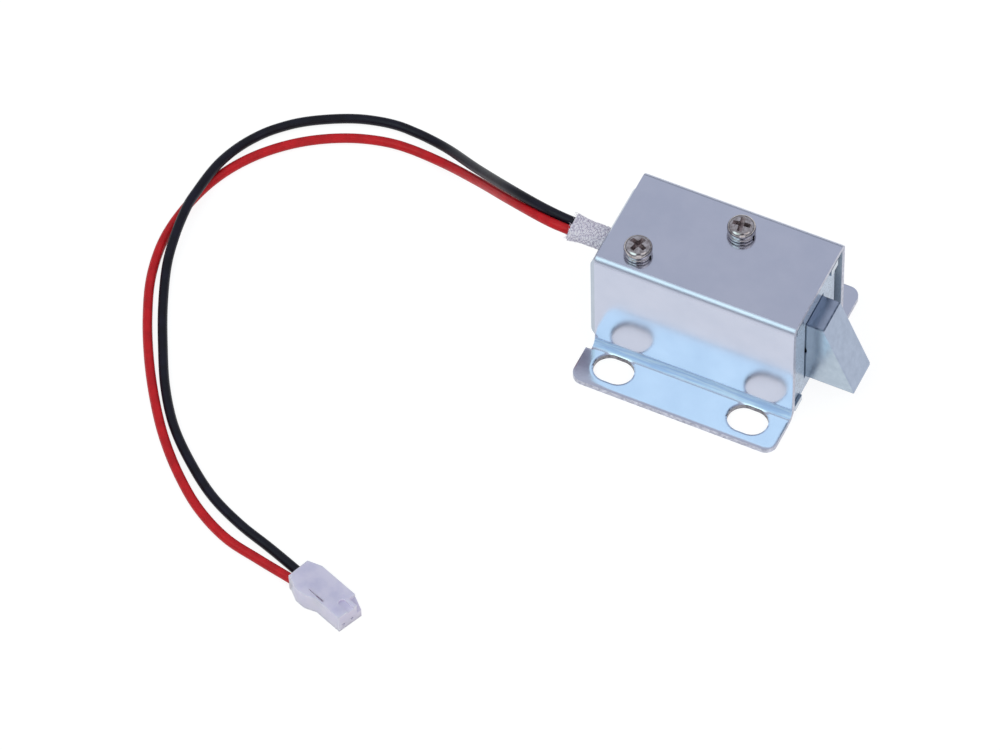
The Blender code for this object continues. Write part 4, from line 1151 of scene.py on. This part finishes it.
# Direction, inner and outer angle in degrees, colour: left, right and low front patches, dark cap
SOFTBOXES = [
    ((-0.267, -0.53, 0.805), 12, 26, (1.58, 2.02, 1.96, 1.0)),
    ((0.582, -0.09, 0.808), 9, 18, grey(1.5)),
    ((0.478, -0.828, 0.292), 12, 24, grey(1.3)),
    ((0.267, -0.525, 0.808), 7, 15, (0.05, 0.05, 0.06, 1.0)),
]


def softbox(nodes, links, look, behind, toward, inner, outer, colour):
    """A round soft patch of the sky, all there to the inner angle and gone at the outer one."""
    dot = nodes.new("ShaderNodeVectorMath")
    dot.operation = "DOT_PRODUCT"
    dot.inputs[1].default_value = Vector(toward).normalized()
    links.new(look, dot.inputs[0])
    patch = nodes.new("ShaderNodeMapRange")
    patch.interpolation_type = "SMOOTHSTEP"
    patch.inputs["From Min"].default_value = cos(radians(outer))
    patch.inputs["From Max"].default_value = cos(radians(inner))
    links.new(dot.outputs["Value"], patch.inputs["Value"])
    return mixed(nodes, links, patch.outputs["Result"], behind, colour)


def larger(nodes, links, first, second):
    made = nodes.new("ShaderNodeMath")
    made.operation = "MAXIMUM"
    links.new(first, made.inputs[0])
    links.new(second, made.inputs[1])
    return made.outputs[0]


def make_floor():
    """A floor that shows white to the camera and in reflections, and keeps the shadow."""
    mesh = bpy.data.meshes.new("floor")
    corners = [(x * FLOOR_REACH, y * FLOOR_REACH, 0) for x, y in ((-1, -1), (1, -1), (1, 1), (-1, 1))]
    mesh.from_pydata(corners, [], [(0, 1, 2, 3)])
    floor = link("floor", mesh)
    looks, shader, nodes, links = shader_of("floor_looks", rgb(228, 228, 230), 0.0, 0.9)
    shader.inputs["Specular IOR Level"].default_value = 0.0
    seen = nodes.new("ShaderNodeLightPath").outputs
    shown = larger(nodes, links, seen["Is Camera Ray"], seen["Is Glossy Ray"])
    shown = larger(nodes, links, shown, seen["Is Transmission Ray"])
    white = nodes.new("ShaderNodeEmission")
    white.inputs["Color"].default_value = grey(1.0)
    white.inputs["Strength"].default_value = FLOOR_WHITE
    faint = nodes.new("ShaderNodeBsdfDiffuse")
    faint.inputs["Color"].default_value = grey(0.22)
    both = nodes.new("ShaderNodeAddShader")
    links.new(white.outputs[0], both.inputs[0])
    links.new(faint.outputs[0], both.inputs[1])
    mix = nodes.new("ShaderNodeMixShader")
    links.new(shown, mix.inputs["Fac"])
    links.new(shader.outputs[0], mix.inputs[1])
    links.new(both.outputs[0], mix.inputs[2])
    links.new(mix.outputs[0], nodes["Material Output"].inputs["Surface"])
    mesh.materials.append(looks)


def make_sky():
    """White at the horizon and grey above, with three bright patches and a dark one by the camera."""
    world = bpy.data.worlds.new("studio")
    bpy.context.scene.world = world
    world.use_nodes = True
    nodes = world.node_tree.nodes
    links = world.node_tree.links
    where = nodes.new("ShaderNodeTexCoord")
    split = nodes.new("ShaderNodeSeparateXYZ")
    links.new(where.outputs["Generated"], split.inputs[0])
    colour = ramp(nodes, links, split.outputs["Z"], SKY)
    for patch in SOFTBOXES:
        colour = softbox(nodes, links, where.outputs["Generated"], colour, *patch)
    links.new(colour, nodes["Background"].inputs["Color"])
    nodes["Background"].inputs["Strength"].default_value = 1.0


def dress(node, material):
    """Gives a CAD node that stays its looks."""
    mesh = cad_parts[node].data
    mesh.materials.clear()
    mesh.materials.append(material)


set_camera()
black, black_exit, black_length = wire("black_lead", 1, BLACK_ROUTE, BLACK_PVC, "wire_black", "black_wire")
red, red_exit, red_length = wire("red_lead", -1, RED_ROUTE, RED_PVC, "wire_red", "red_wire")
shell = plug()
braid = sleeve()
bracket()
yoke()
plate()
bolt()
spring()
for side in SCREWS:
    screw(side)
    washer(side)
for node, material in (
    ("bolt_pin", NICKEL), ("stop_cushion", RUBBER), ("plunger", IRON), ("spring_seat", NICKEL),
    ("pole_core", IRON), ("residual_washer", BRASS), ("guide_tube", BRASS),
    ("bobbin", NYLON), ("coil_winding", COPPER), ("coil_tape", TAPE), ("contact_black", TIN),
    ("contact_red", TIN),
):
    dress(node, material)
make_floor()
make_sky()
bpy.context.scene.view_settings.view_transform = "Standard"
